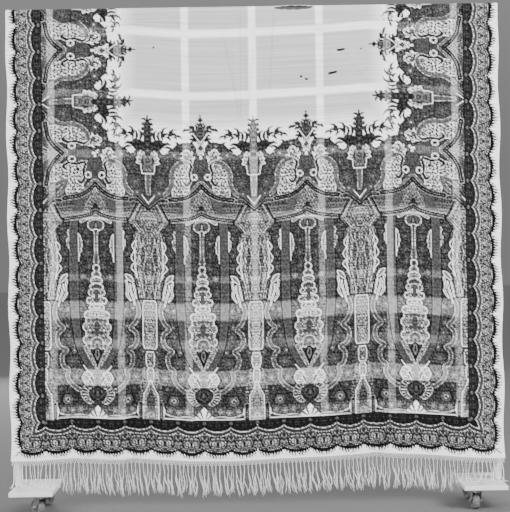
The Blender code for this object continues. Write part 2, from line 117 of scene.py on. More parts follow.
# %% Shader sums
class Shade:
    """One output of a shader node, with arithmetic that adds Math nodes to its graph."""

    def __init__(self, tree, socket):
        self.tree = tree
        self.socket = socket

    def node(self, kind, settings=(), inputs=(), output=0):
        """Any node: settings are its properties, inputs its sockets by name or number."""
        made = self.tree.nodes.new(kind)
        for name, value in dict(settings).items():
            setattr(made, name, value)
        for name, value in dict(inputs).items():
            self.plug(made.inputs[name], value)
        return Shade(self.tree, made.outputs[output])

    def plug(self, slot, value):
        if isinstance(value, Shade):
            self.tree.links.new(value.socket, slot)
        else:
            slot.default_value = value

    def sum(self, operation, *values):
        return self.node("ShaderNodeMath", {"operation": operation}, dict(enumerate(values)))

    def __add__(self, other):
        return self.sum("ADD", self, other)

    def __radd__(self, other):
        return self.sum("ADD", other, self)

    def __sub__(self, other):
        return self.sum("SUBTRACT", self, other)

    def __rsub__(self, other):
        return self.sum("SUBTRACT", other, self)

    def __mul__(self, other):
        return self.sum("MULTIPLY", self, other)

    def __rmul__(self, other):
        return self.sum("MULTIPLY", other, self)

    def sine(self):
        return self.sum("SINE", self)

    def between(self, low, high):
        """0 below low and 1 above high, with an eased step from one to the other."""
        settings = {"interpolation_type": "SMOOTHSTEP"}
        return self.node("ShaderNodeMapRange", settings, {"Value": self, "From Min": low, "From Max": high})

    def noise(self, place, scale, detail=3.0):
        return self.node("ShaderNodeTexNoise", {}, {"Vector": place, "Scale": scale, "Detail": detail})

    def drawn_out(self, scales, detail):
        """Noise with a scale for each axis of this place, as threads and brush marks are long one way."""
        place = self.node("ShaderNodeVectorMath", {"operation": "MULTIPLY"}, {0: self, 1: scales})
        return self.noise(place, 1.0, detail)

    def part(self, axis):
        """One axis of a vector."""
        return self.node("ShaderNodeSeparateXYZ", {}, {0: self}, axis)

    def grey(self):
        """A neutral colour whose three channels are this value."""
        return self.node("ShaderNodeCombineColor", {}, {0: self, 1: self, 2: self})


def new_material(name, roughness, metallic=0.0):
    """A material with its surface shader, and a Shade to start its sums from."""
    material = bpy.data.materials.new(name)
    material.use_nodes = True
    surface = material.node_tree.nodes["Principled BSDF"]
    surface.inputs["Roughness"].default_value = roughness
    surface.inputs["Metallic"].default_value = metallic
    return material, surface, Shade(material.node_tree, None)


def bump(start, surface, height, distance, strength=0.6):
    """The height tilts the shading as if the surface rose by that distance."""
    inputs = {"Height": height, "Distance": distance, "Strength": strength}
    start.plug(surface.inputs["Normal"], start.node("ShaderNodeBump", {}, inputs))

# %% [markdown]
# A printed or woven shawl is designed on squared paper, the draft, and one arch with half of a torch
# beside it repeats all the way round the cloth. So the motif is drawn once here, on a fine grid of draft
# squares, and every point of the cloth looks its tone up in it. Numpy works on the whole grid at once.
# Each shape is a distance from a chain of tapering bars, and a soft step of that distance lays a tone
# over what is there.

# %% A draft to draw motifs on
SQUARE = 0.00335
FINE = 4
HALF_REPEAT = 53.0
DRAFT_TOP = 352.0
BLACK, DARK, DEEP, MID, GREY, PALE, WHITE = 0.12, 0.20, 0.28, 0.38, 0.52, 0.80, 0.97


def ease(value):
    """A step from 0 to 1 with level ends: three squares of the value less two cubes."""
    value = np.clip(value, 0.0, 1.0)
    return value * value * (3 - 2 * value)


def within(distance, soft=0.3):
    """1 inside a shape, where its signed distance is negative, falling to 0 over twice the softness."""
    return np.clip(0.5 - distance / (2 * soft), 0.0, 1.0)


def hashed(column, row, seed):
    """A number from 0 to 1 for each pair of whole numbers: the fraction of a large multiple of a sine."""
    value = np.sin(column * 127.1 + row * 311.7 + seed * 74.7) * 43758.5453
    return value - np.floor(value)


def spline(points, steps=5):
    """Catmull-Rom curve through rows of numbers, so that a chain of bars bends smoothly."""
    rows = np.array(points, float)
    pad = np.vstack([2 * rows[0] - rows[1], rows, 2 * rows[-1] - rows[-2]])
    t = np.linspace(0, 1, steps, endpoint=False)[:, None]
    spans = []
    for before, start, end, after in zip(pad, pad[1:], pad[2:], pad[3:]):
        linear = (end - before) * t
        square = (2 * before - 5 * start + 4 * end - after) * t**2
        cube = (3 * start - before - 3 * end + after) * t**3
        spans.append(0.5 * (2 * start + linear + square + cube))
    return np.vstack([*spans, rows[-1:]])


def across(points):
    """The same rows measured from the torch's middle line instead of the arch's."""
    return [(HALF_REPEAT - x, y, r) for x, y, r in points]


def scattered(x, y, pitch, spread, seeds):
    """A brick grid of cells, each moved by its own hash and by up to half the spread of a cell.

    Gives how far each point is from its cell's middle, and the cell's column and row.
    """
    row = np.floor(y / pitch)
    shifted = x / pitch + 0.5 * (row % 2)
    column = np.floor(shifted)
    dx = (shifted - column - 0.5 - spread * (hashed(column, row, seeds[0]) - 0.5)) * pitch
    dy = (y / pitch - row - 0.5 - spread * (hashed(column, row, seeds[1]) - 0.5)) * pitch
    return dx, dy, column, row


def florets(x, y, pitch, dark, light, seed, fill=0.62):
    """Small scattered flowers: lobed petals with a dark ring and a dim eye."""
    dx, dy, column, row = scattered(x, y, pitch, 0.35, (seed, seed + 3))
    size = pitch * fill * (0.35 + 0.28 * hashed(column, row, seed + 5))
    radius = np.hypot(dx, dy)
    turn = np.arctan2(dy, dx) + 2 * np.pi * hashed(column, row, seed + 7)
    tone = dark + (light - dark) * within(radius - size * (0.78 + 0.22 * np.cos(6 * turn)), 0.45)
    tone = tone + (dark * 0.8 - tone) * within(np.abs(radius - size * 0.6) - 0.2, 0.3) * 0.8
    return tone + (light * 0.6 - tone) * within(radius - size * 0.28, 0.35)


def scrolls(x, y, pitch, ground, tone, seed):
    """Small scattered leaves, each a bent ellipse that is turned its own way."""
    dx, dy, column, row = scattered(x, y, pitch, 0.4, (seed, seed + 1))
    turn = 2 * np.pi * hashed(column, row, seed + 2)
    along = dx * np.cos(turn) + dy * np.sin(turn)
    off = dy * np.cos(turn) - dx * np.sin(turn)
    leaf = np.hypot(along / (0.46 * pitch), (off - 0.25 * along**2) / (0.24 * pitch)) - 1
    return ground + (tone - ground) * within(leaf, 0.35)


def span(low, high):
    """The draft's rows or columns between two places in squares."""
    return slice(max(0, int(low * FINE)), max(0, int(high * FINE)))


class Draft:
    """Tones on a fine grid of draft squares, which motifs are laid over one after another."""

    def __init__(self, wide, tall, tone):
        self.x, self.y = np.meshgrid(np.arange(0, wide, 1 / FINE), np.arange(0, tall, 1 / FINE))
        self.tone = np.full(self.x.shape, tone)
        self.bare = np.ones(self.x.shape)

    def lay(self, mask, tone):
        """Lays a tone over what is there. What no tone covers stays bare, and plain cloth shows there."""
        self.tone = self.tone + (tone - self.tone) * mask
        self.bare = self.bare * (1 - mask)

    def fill(self, distance, tone, grow=0.0, soft=0.3):
        self.lay(within(distance - grow, soft), tone)

    def nest(self, distance, *layers):
        """Fills one shape again and again, each layer with its tone and by how much it is grown."""
        for tone, grow in layers:
            self.fill(distance, tone, grow)

    def line(self, distance, tone, half=0.35, depth=0.0):
        """A line of twice that half width, that depth inside the shape's edge."""
        self.lay(within(np.abs(distance + depth) - half, 0.3), tone)

    def bars(self, points, reach=8.0):
        """Distance from a chain of round-ended bars: how far the nearest one's axis is, less its radius."""
        far = np.full(self.x.shape, 99.0)
        for (ax, ay, ar), (bx, by, br) in zip(points, points[1:]):
            margin = max(ar, br) + reach
            rows = span(min(ay, by) - margin, max(ay, by) + margin)
            columns = span(min(ax, bx) - margin, max(ax, bx) + margin)
            x = self.x[rows, columns] - ax
            y = self.y[rows, columns] - ay
            dx, dy = bx - ax, by - ay
            t = np.clip((x * dx + y * dy) / (dx * dx + dy * dy + 1e-9), 0, 1)
            near = np.hypot(x - dx * t, y - dy * t) - (ar + (br - ar) * t)
            far[rows, columns] = np.minimum(far[rows, columns], near)
        return far

    def torch_bars(self, points):
        """The same for points measured from the torch's middle line."""
        return self.bars(across(points))

    def curve(self, points, steps=5):
        return self.bars(spline(points, steps))

    def disc(self, x, y, radius, petals=0, cut=0.25):
        """Distance from a disc, or from a flower whose edge swings in and out as a cosine of the angle."""
        angle = np.arctan2(self.y - y, self.x - x)
        inwards = (cut - cut * np.cos(petals * angle)) * (petals > 0)
        return np.hypot(self.x - x, self.y - y) - radius * (1 - inwards)

    def leaves(self, rows, tone, mirrored=False):
        """Pointed leaves, which bend away from the line of their reach and are fattest in the middle."""
        for x, y, dx, dy, fat in rows:
            bx, by = -0.22 * dy, 0.22 * dx
            leaf = [(x, y, fat * 0.5), (x + 0.4 * dx + bx, y + 0.4 * dy + by, fat),
                    (x + 0.75 * dx + bx, y + 0.75 * dy + by, fat * 0.7), (x + dx, y + dy, 0.15)]
            self.fill(self.bars(across(leaf) if mirrored else leaf, 2.0), tone)

    def dotted(self, points, half, pitch=1.9):
        """A dark band with pale edges and a row of pale dots along its middle."""
        path = spline([(x, y, 0.0) for x, y in points], 6)
        band = self.bars(path, half + 3)
        self.fill(band, GREY * 1.2, half + 0.8)
        self.fill(band, BLACK, half)
        walked = np.concatenate([[0.0], np.cumsum(np.hypot(*np.diff(path[:, :2], axis=0).T))])
        places = np.arange(pitch / 2, walked[-1], pitch)
        for x, y in zip(np.interp(places, walked, path[:, 0]), np.interp(places, walked, path[:, 1])):
            self.fill(self.bars([(x, y, 0.36), (x, y + 0.01, 0.36)], 1.0), GREY * 1.2)


draft = Draft(HALF_REPEAT, DRAFT_TOP, PALE)
print("draft grid", draft.x.shape, "a motif is", round(2 * HALF_REPEAT * SQUARE * 1000), "mm wide")

# %% [markdown]
# Above the arch the print ends in a dark crown, with a pale curled leaf form on each side of it, and a
# torch stands between two arches. Both run out into leafy sprays over the plain middle. They are drawn
# from large to small, as a block printer would lay the ground first and the outlines last. Each table has
# a column for each number.

# %% Crown, curled forms and torch
CROWN_TOP = [
    # x, y of the dark ground's upper edge
    (0, 305), (3, 306), (4.5, 314), (8, 318.5), (13, 319), (20, 317.5), (24, 316.5), (26, 314),
    (29.5, 311), (32, 310), (34, 307), (36, 305), (39, 306), (42, 311), (53, 313),
]
CROWN_FLOWERS = [
    # x, y, radius, petals, tone
    (15.5, 315, 2.4, 6, GREY), (26.6, 305.6, 3.2, 7, GREY), (33.4, 292.8, 3.4, 8, MID),
    (40, 276.7, 5.2, 9, MID), (42, 266, 2.8, 0, GREY), (33, 299, 2.0, 0, MID), (37, 286, 1.8, 0, MID),
    (44.5, 286, 1.8, 6, MID), (31, 268, 1.6, 0, MID), (46, 270, 1.6, 0, MID), (36, 271, 1.4, 0, GREY),
    (22, 303, 1.5, 0, GREY),
]
FORM_LEAVES = [
    # x, y, reach across, reach up, thickness
    (15, 304, 5.5, 3.0, 1.2), (15, 301, 6.5, 1.0, 1.2), (16, 298, 7.0, -1.5, 1.1),
    (13, 307, 3.5, 4.0, 1.1), (10, 306, -1.0, 4.5, 1.0), (8, 302, -1.5, 3.5, 1.0),
    (20, 270, 8.5, -4.0, 1.3), (24, 274, 6.0, -5.0, 1.2),
]
FINIAL_LEAVES = [
    # x, y, reach across, reach up, thickness
    (4, 331, 2.0, 5.5, 1.3), (6.5, 331, 4.5, 3.6, 2.1), (10, 333, 2.0, 2.2, 1.2),
    (10.5, 332, 3.2, -2.4, 1.5), (13, 331.5, 4.2, -3.0, 1.5), (8, 330, 3.0, -2.6, 1.3),
    (5, 330, 3.6, -1.6, 1.6), (4, 321, 6.6, 4.6, 1.7), (5, 320, 6.6, 1.2, 1.6), (5, 319, 5.4, -1.6, 1.4),
    (3, 322, 5.0, 5.6, 1.4), (22, 315, 3.6, 3.2, 1.2), (29, 309.5, 4.2, 2.6, 1.2),
    (2.4, 336, 2.0, 1.8, 0.9), (1, 340, 2.2, 1.2, 0.8),
]
TORCH_LEAVES = [
    # x from the torch's middle, y, reach across, reach up, thickness
    (1, 338, 5.0, 1.6, 1.1), (2.5, 333, 3.4, 1.2, 1.0), (2.5, 328, 3.8, 0.8, 1.1),
    (3, 323, 4.0, 1.0, 1.2), (2.5, 336, 3.0, -1.6, 0.8), (3, 331, 3.0, -1.4, 0.8),
    (3, 326, 3.4, -1.4, 0.9), (8.5, 317, 1.4, 12.5, 1.4), (12, 318, 2.0, 11.0, 1.4),
    (15, 320, 5.0, 13.0, 1.3), (21, 323, 8.0, 8.0, 1.3), (14, 322, 8.0, 3.4, 1.5),
    (21, 324, 9.0, 0.5, 1.5), (28, 324.5, 6.0, -2.5, 1.2), (19, 323, 4.0, -4.0, 1.1),
    (24, 324, 2.4, 5.0, 1.0), (17, 323, -0.5, 5.5, 1.0), (26, 324, 3.0, -3.0, 0.9),
    (12, 311, 12.0, 4.0, 1.9), (7, 310, 9.0, -2.0, 1.6), (16, 312, 9.0, -2.8, 1.2),
]


def flower(p, x, y, radius, petals, tone):
    """A round or lobed flower with a thin dark ring and a paler eye."""
    shape = p.disc(x, y, radius, petals, 0.2)
    p.fill(shape, tone)
    p.line(shape, DARK, 0.3, radius * 0.4)
    p.fill(p.disc(x, y, radius * 0.28), min(tone * 1.5, PALE))


def draw_crown(p):
    """The dark ground with its flowers, then the curled pale form, the pear and the white lines over it."""
    edge_x, edge_y = np.array(CROWN_TOP).T
    ground = np.maximum(p.y - np.interp(p.x, edge_x, edge_y), 252 - p.y)
    p.fill(ground, florets(p.x, p.y, 3.6, DEEP * 0.85, MID * 1.1, 2, 0.9))
    p.line(ground, BLACK, 0.6, 0.7)
    p.lay(within(ground) * within(311 - p.y, 0.5) * within(p.x - 27, 0.5), DEEP)
    for row in CROWN_FLOWERS:
        flower(p, *row)
    p.line(p.disc(8.2, 314.2, 2.4), GREY, 0.5)
    band = p.curve([(14, 299, 1.8), (20, 298, 1.8), (26, 293, 1.8), (29.3, 285, 1.8), (29, 277, 1.8),
                    (32, 270, 1.8), (36.5, 265, 1.4)])
    body = p.curve([(14, 292, 5.0), (18.5, 286, 8.0), (20, 278, 8.5), (21, 268, 8.0)], 4)
    head = p.curve([(11.5, 296, 3.0), (12, 301, 4.4), (13.5, 306, 4.2), (14, 309, 2.6)], 4)
    pale = np.minimum(body, head)
    p.fill(pale, WHITE, 0.6)
    p.leaves(FORM_LEAVES, WHITE)
    p.lay(within(pale + 0.4), scrolls(p.x, p.y, 3.3, WHITE * 0.9, DARK, 11))
    p.fill(p.curve([(10, 300, 0.4), (13, 303, 0.7), (12, 307, 0.5), (15, 309, 0.3)]), DEEP)
    p.fill(p.bars([(17, 306, 0.4), (13.5, 300, 0.5)]), DEEP)
    p.nest(band, (PALE * 0.95, 0.8), (GREY * 0.9, 0.0))
    p.line(band, PALE * 0.75, 0.25, 1.4)
    pear = p.curve([(0, 306, 0.8), (0, 300, 3.5), (0, 293, 8.2), (0, 287, 8.4), (0, 281, 4.0),
                    (0, 276, 1.5)], 4)
    p.nest(pear, (BLACK, 0.9), (florets(p.x, p.y, 3.0, MID * 0.85, MID * 1.25, 14, 0.8), 0.0))
    hook = p.curve([(12.6, 299, 0.6), (9.6, 295, 1.2), (11.6, 288, 1.3), (10.6, 281, 1.4), (14, 276, 1.3),
                    (17.8, 279, 0.6)])
    p.nest(hook, (WHITE, 0.7), (DARK, 0.0))
    p.fill(p.disc(6.8, 284, 3.6), WHITE)
    p.fill(p.disc(6.8, 284, 2.6, 5), DARK)
    stripe = p.bars([(1.2, 278, 1.5), (14.5, 264, 1.9)])
    p.nest(stripe, (PALE, 0.7), (GREY * 0.85, 0.0))
    p.fill(p.bars([(0, 303.5, 1.6), (0, 308.5, 0.5)]), WHITE)


def draw_torch(p):
    """A fluted handle, a cup with serrated white wings and a flame of leaves, from its own middle."""
    off = HALF_REPEAT - p.x
    handle = np.maximum(off - np.interp(p.y, [264, 284], [2.2, 3.1]), np.abs(p.y - 274.5) - 10.5)
    p.nest(handle, (PALE, 0.0), (florets(off, p.y, 3.2, GREY * 0.8, GREY * 1.2, 15, 0.9), -0.9))
    cup = p.torch_bars([(0, 291, 5.0), (0, 298, 7.6), (0, 304, 7.0)])
    p.nest(cup, (DARK, 1.2), (florets(off, p.y, 3.4, GREY * 0.9, PALE, 16, 0.9), 0.0))
    for x, y, radius in ((9.0, 301.5, 1.5), (10.2, 298.0, 1.4), (7.4, 305.0, 1.4)):
        p.fill(p.torch_bars([(x, y, radius), (x - 1.6, y - 0.8, radius)]), PALE)
    wings = [(0, 285.4, 0.6), (5.8, 285.4, 0.6), (6.6, 290, 0.6), (7.0, 294.6, 0.6), (11.6, 295.8, 0.7),
             (9.6, 298.6, 0.6), (11.2, 300.6, 0.6), (8.8, 302.6, 0.6), (9.6, 305.0, 0.6), (6.4, 308, 0.6)]
    p.fill(p.torch_bars(wings), WHITE)
    p.fill(p.torch_bars([(4.2, 294, 0.6), (5.6, 298, 1.1), (4.6, 302, 0.5)]), DARK)
    p.fill(p.torch_bars([(0, 289, 2.4), (0, 303, 2.8)]), florets(off, p.y, 3.0, DEEP, PALE, 17, 0.9))
    p.fill(p.torch_bars([(6, 306.5, 1.0), (0, 305.0, 1.0)]), PALE)
    flame = [(0, 306, 3.2), (0, 318, 4.0), (0, 324, 4.0), (0, 335, 3.2), (0, 338, 1.6), (0, 344, 0.4)]
    p.fill(p.torch_bars(flame), DARK)
    p.fill(p.torch_bars([(3, 312, 5.0), (12, 316.5, 3.6)]), DARK)
    p.leaves(TORCH_LEAVES, DARK, mirrored=True)
    for y in (309, 314, 320, 326, 332):
        p.fill(p.torch_bars([(0, y, 1.2), (0, y + 1.5, 0.6)]), MID)
    p.fill(p.torch_bars(spline([(13, 308.5, 0.4), (16.5, 310.3, 1.8), (20.5, 307, 0.4)], 3)), WHITE)


def draw_finial(p):
    """A dark bell with white lines, a knob and diamonds on a stem, and arching laurel."""
    p.fill(p.bars([(0, 309, 3.0), (0, 317, 3.6)]), PALE)
    p.fill(p.x + np.abs(p.y - 313) - 2.6, DEEP)
    p.fill(p.x + np.abs(p.y - 313) - 0.9, GREY)
    p.leaves(FINIAL_LEAVES, DARK)
    p.fill(p.bars([(0, 319, 1.6), (0, 323, 4.6), (0, 327, 6.2), (0, 330, 2.6)]), DEEP)
    p.fill(p.bars([(0.3, 318.5, 0.6), (7.2, 327.6, 0.6)]), WHITE)
    p.line(p.disc(0, 329, 4.0), GREY, 0.3)
    p.fill(p.bars([(0, 334, 2.8), (0, 336, 2.4)]), DARK)
    p.fill(p.bars([(0, 334.6, 0.9), (0, 335.6, 0.7)]), GREY)
    for y, size in ((341.4, 2.4), (345.5, 1.1)):
        p.fill(p.x + np.abs(p.y - y) * 0.7 - size, DARK)
    p.fill(p.bars([(2.6, 316, 0.6), (6.5, 319.2, 0.9)]), WHITE)


draw_crown(draft)
draw_torch(draft)
draw_finial(draft)
print("mean tone of the crown", round(float(draft.tone[260 * FINE:310 * FINE].mean()), 2))

# %% [markdown]
# Below the crown each arch holds a panel: a standing ornament in its middle, like a stack of urns and
# tiers, grey stripes that frame it, flowers and a vine round it, and a column of florets between this
# panel and the next. Two dark dotted bands cross the print between crown and panel. The tiers share one
# form, so a table gives their sizes and a loop draws them.

# %% Panel, column and dotted bands
PANEL_EDGE = [
    # y, x of the dark ground's outer edge
    (41, 41), (66, 41), (90, 46), (150, 46), (160, 42), (175, 39.5), (181, 37.5), (190, 36), (197, 38),
    (204, 36), (209, 38), (217, 36), (224, 37.5), (227, 40.5), (234, 35), (240, 29),
]
PANEL_FLOWERS = [
    # x, y, radius, petals, tone
    (24.7, 97, 6.0, 10, MID), (28.5, 123, 5.2, 9, MID), (46, 107, 3.6, 7, MID), (46.5, 97, 2.4, 6, MID),
    (43, 62, 2.5, 0, MID), (22, 154, 3.5, 6, GREY), (24, 73, 3.0, 6, MID), (30, 133, 2.0, 0, GREY),
    (23, 108, 2.4, 0, GREY), (37, 70, 2.6, 6, MID), (47, 84, 3.2, 6, GREY), (38, 81, 3.4, 6, GREY),
    (22, 81, 3.4, 6, GREY), (29, 149, 3.4, 6, GREY), (36, 150, 2.6, 6, GREY), (8, 205, 3.2, 7, MID),
    (8, 217, 3.0, 7, MID), (7.5, 192, 3.0, 7, MID), (9.5, 226, 2.4, 0, MID), (13.5, 182, 3.0, 7, GREY),
    (14, 168, 3.0, 6, MID), (31, 222, 2.4, 0, MID), (31.5, 205, 2.4, 0, MID), (31, 192, 2.6, 0, MID),
    (33, 230, 2.4, 0, MID), (17, 49, 3.2, 6, GREY), (25, 48, 3.4, 6, GREY), (34, 49, 2.8, 6, GREY),
]
INNER_FLAME = [
    # y, how far it reaches in from the stripe
    (195, -1), (197, 1.0), (204, 2.0), (208, 4.0), (214, 4.8), (221, 3.6), (225, 1.4), (228, -1),
]
OUTER_FLAME = [
    # y, how far it reaches out from the stripe
    (207, -1), (209, 1), (213, 2.8), (219, 3.2), (221, 1.0), (223, 1.2), (226, 2.6), (229, 1.0),
    (230, -1),
]
WAIST_SCROLLS = [
    # for each: x, y and half width along it
    [(40, 217, 0.6), (37.8, 212.5, 1.7), (38.6, 208, 0.6)],
    [(38.8, 206, 0.8), (37.0, 201, 1.9), (38.6, 196, 0.8)],
    [(38.6, 194, 0.8), (36.8, 190.5, 1.9), (39.4, 186, 0.8), (40.5, 181, 0.4)],
    [(29.5, 184, 0.6), (32.6, 181, 2.2), (36.0, 177, 1.2)],
    [(29.8, 178, 0.8), (31.0, 170, 0.8), (30.6, 164, 1.0), (34, 158, 0.5)],
    [(33.4, 174, 0.7), (34.2, 167, 0.8), (36.5, 160, 0.8), (38, 153, 0.4)],
    [(36.8, 174, 0.6), (38.0, 168, 0.8), (39.5, 160, 0.5)],
]
TIERS = [
    # y, reach across, radius of its lobes, tone
    (191, 0.0, 3.4, MID), (185, 1.6, 3.2, GREY), (179, 2.8, 3.4, GREY), (172.5, 3.6, 3.4, MID),
    (167, 5.2, 3.4, GREY), (159, 6.6, 3.9, PALE), (152, 4.6, 3.4, PALE), (144.5, 8.6, 4.6, PALE),
    (139, 8.0, 3.6, GREY), (132.5, 9.8, 4.8, GREY), (126.5, 8.4, 3.8, MID), (119.5, 9.6, 5.0, GREY),
    (113.5, 8.4, 3.4, GREY),
]
TIER_ROSES = [
    # x, y, radius
    (3.0, 179, 1.6), (5.8, 167, 2.2), (7.6, 158, 2.2), (9.8, 143.5, 2.4), (10.8, 131.5, 2.5),
    (4.6, 133, 2.2), (10.6, 118.5, 2.6), (5.0, 151.5, 1.8), (3.6, 145, 1.8), (9.0, 126, 1.8),
]
COLUMN_ROSES = [
    # x from the column's middle, y, radius
    (0, 236, 2.6), (8, 235, 2.2), (4.5, 228, 2.0), (0, 220, 2.4), (6, 214, 1.8), (0, 205, 1.8),
    (0, 193, 2.6), (0, 178, 1.6), (3.2, 173, 1.2), (0, 168, 2.6), (4, 150, 2.2), (0, 143, 2.4),
    (3.6, 132, 2.4), (0, 122, 2.6),
]
COLUMN_BOXES = [
    # y, half height, half width, tone
    (134, 24, 7.0, GREY), (99.5, 7.6, 4.4, GREY), (84, 7.0, 3.5, GREY),
]
VINE = [
    # x, y
    (38, 160), (41, 153), (42, 145), (38.5, 136), (33.8, 130.5), (38.5, 126), (40.2, 119), (37, 112),
    (31.2, 108.5), (35.0, 104), (35.6, 98), (33.5, 92), (29.2, 88.8), (30.0, 82), (26.5, 75), (20, 69.5),
    (14, 67),
]


def draw_panel_ground(p):
    """The column's pale ground, the panel's dark ground in its wavy edge, the flowers and the vine."""
    low = within(p.y - 252, 0.5)
    column_ground = scrolls(p.x, p.y, 3.1, GREY * 0.95, DARK, 9)
    p.lay(low, column_ground + 0.5 * (florets(p.x, p.y, 4.4, DARK, WHITE, 19, 0.95) - GREY))
    edge_y, edge_x = np.array(PANEL_EDGE).T
    edge = np.maximum(p.x - np.interp(p.y, edge_y, edge_x), p.y - 240)
    for depth in (-6.2, -3.4):
        p.lay(within(np.abs(edge + depth) - 0.55) * within(160 - p.y, 1.0) * within(p.y - 238, 1.0), PALE)
    p.fill(edge, florets(p.x, p.y, 3.8, DARK, MID, 6, 0.9))
    p.lay(within(np.abs(edge + 0.5) - 0.6) * within(172 - p.y, 1.0), BLACK)
    foot = within(np.abs(p.y - 56) - 14, 1.0) * within(p.x - 41, 0.5)
    p.lay(foot, florets(p.x, p.y, 3.4, DARK, MID * 0.9, 8, 0.85))
    for row in PANEL_FLOWERS:
        flower(p, *row)
    medallion = p.disc(30, 59, 4.8)
    p.fill(medallion, DEEP)
    p.line(medallion, GREY, 0.5, 0.8)
    p.line(medallion, PALE, 0.5, 2.8)
    vine = p.curve([(x, y, 0.0) for x, y in VINE])
    p.nest(vine, (BLACK, 2.9), (PALE, 2.3), (MID * 0.9, 1.5))
    p.lay(within(vine - 1.0) * within(np.abs(np.sin(p.y * 1.3 + p.x)) - 0.4, 0.3), GREY * 1.2)


def draw_stripes(p):
    """A grey stripe down each side of the ornament, flames along it and white scrolls at the waist."""
    stripe = p.curve([(18.5, 262, 3.6), (21, 244, 4.0), (22.2, 225, 4.3), (22.4, 160, 4.3), (20, 125, 3.8),
                      (16, 108, 3.8), (7, 92, 3.6)])
    p.nest(stripe, (BLACK, 0.9), (florets(p.x, p.y, 2.4, MID * 0.95, MID * 1.2, 12, 0.9), 0.0))
    teeth = 0.7 * np.abs(np.sin(p.y * 0.62))
    inner_y, inner_fat = np.array(INNER_FLAME).T
    inner = np.maximum(17.8 - p.x - np.interp(p.y, inner_y, inner_fat) + teeth, p.x - 17.9)
    p.nest(inner, (WHITE, 0.0), (MID, -1.1), (PALE, -2.0))
    outer_y, outer_fat = np.array(OUTER_FLAME).T
    outer = np.maximum(p.x - 26.7 - np.interp(p.y, outer_y, outer_fat) + teeth * 0.5, 26.6 - p.x)
    p.nest(outer, (WHITE * 0.95, 0.0), (MID, -1.0))
    for scroll in WAIST_SCROLLS:
        p.nest(p.curve(scroll, 4), (WHITE, 0.5), (GREY, -0.7))


def draw_ornament(p):
    """From the top: a winged lotus, a stem, the tiers, an inverted V, a butterfly, horns and a spray."""
    p.fill(p.bars([(0, 242, 1.0), (8, 240.2, 1.2), (14.5, 237, 1.6)]), PALE)
    p.fill(p.bars([(10, 239, 0.3), (14, 237.2, 0.6)]), DARK)
    lotus = p.bars([(0, 234.5, 5.6), (2.6, 233.8, 5.4)])
    p.nest(lotus, (PALE, 0.5), (MID, -0.9))
    p.line(p.bars([(0, 232.5, 2.4), (0, 237.5, 0.4)]), DARK, 0.5)
    p.fill(p.bars([(0, 233, 0.7), (0, 235.5, 0.3)]), PALE)
    stem = p.bars([(0, 228, 2.3), (0, 224, 1.7), (0, 205, 1.6), (0, 198, 2.8), (0, 195, 1.8)])
    p.nest(stem, (PALE, 0.4), (DEEP, -0.8))
    p.lay(within(stem + 0.6) * within(np.abs(p.y / 2.1 - np.round(p.y / 2.1)) * 2.1 - 0.45), GREY)
    tiers = []
    for y, reach, radius, tone in TIERS:
        lobes = [p.disc(reach * share, y - 0.9 * share, radius * (1 - 0.12 * share)) for share in (0, 0.5, 1)]
        tiers.append((np.minimum.reduce(lobes), tone))
    outline = np.minimum.reduce([tier for tier, _ in tiers])
    p.nest(outline, (BLACK, 1.0), (WHITE, 0.5), (DEEP, -0.7))
    for tier, tone in tiers:
        p.fill(tier, scrolls(p.x, p.y, 2.6, tone, DARK, 21), -0.7)
        p.line(tier, PALE, 0.4, 1.0)
    for x, y, radius in TIER_ROSES:
        p.nest(p.disc(x, y, radius), (WHITE * 0.9, 0.0), (DARK, -0.7), (PALE * 0.8, -1.5))
    p.fill(p.bars([(0, 168, 1.6), (0, 158, 2.0)]), MID)
    p.fill(p.bars([(0, 134, 3.0), (0, 126, 2.2)]), MID * 0.9)
    fan = p.disc(0, 115.5, 6.4)
    p.fill(np.maximum(fan, 115 - p.y), MID)
    p.fill(np.maximum(np.abs(fan) - 0.8, 115 - p.y), PALE)
    p.fill(np.maximum(p.disc(0, 115.5, 2.4), 115 - p.y), PALE * 0.85)
    chevron = p.bars([(11.5, 111, 1.8), (7.0, 102, 1.8), (1.0, 90.5, 0.8)])
    p.nest(chevron, (PALE, 0.6), (scrolls(p.x, p.y, 2.2, PALE * 0.9, DARK, 4), -0.3))
    drop = p.bars([(0, 108, 3.0), (0, 104, 3.8), (0, 96, 0.6)])
    p.nest(drop, (BLACK, 0.4), (GREY, -1.3), (DARK, -2.4))
    patch = np.maximum(p.x - np.interp(p.y, [73, 78, 89], [7.0, 4.0, 10.5]), np.abs(p.y - 81) - 8)
    p.fill(patch, florets(p.x, p.y, 3.0, GREY * 1.1, WHITE, 31, 0.9))
    wing = p.bars([(7, 85, 2.0), (10.5, 83.5, 3.6), (12, 80.5, 3.6), (9.5, 76.5, 3.8), (6.5, 74.5, 2.0)])
    p.nest(wing, (WHITE, 0.4), (scrolls(p.x, p.y, 2.4, WHITE * 0.92, DEEP, 33), -1.0))
    p.fill(p.bars([(14.0, 93, 0.7), (9.5, 87.5, 0.7), (3.2, 80.5, 0.6)]), WHITE)
    horn = p.curve([(5, 72, 1.2), (11, 71, 3.0), (13.2, 64, 3.8), (9, 57.5, 2.6), (5, 56.5, 0.8)], 4)
    p.fill(horn, PALE)
    comb = np.abs(np.sin(np.arctan2(p.y - 64, p.x - 3) * 11)) - 0.55
    p.fill(np.maximum(horn + 0.8, -comb), DARK)
    boss = p.disc(0, 65, 8.4, 8, 0.06)
    p.fill(boss, DARK)
    p.line(boss, MID, 0.4, 3.0)
    p.fill(p.disc(0, 65, 2.0, 5), GREY)
    spray = np.maximum(p.x * 1.1 + p.y - 54, 41 - p.y)
    rays = np.cos(13 * np.arctan2(p.y - 39, p.x)) > -0.2
    p.fill(spray, np.where(rays, WHITE, GREY))


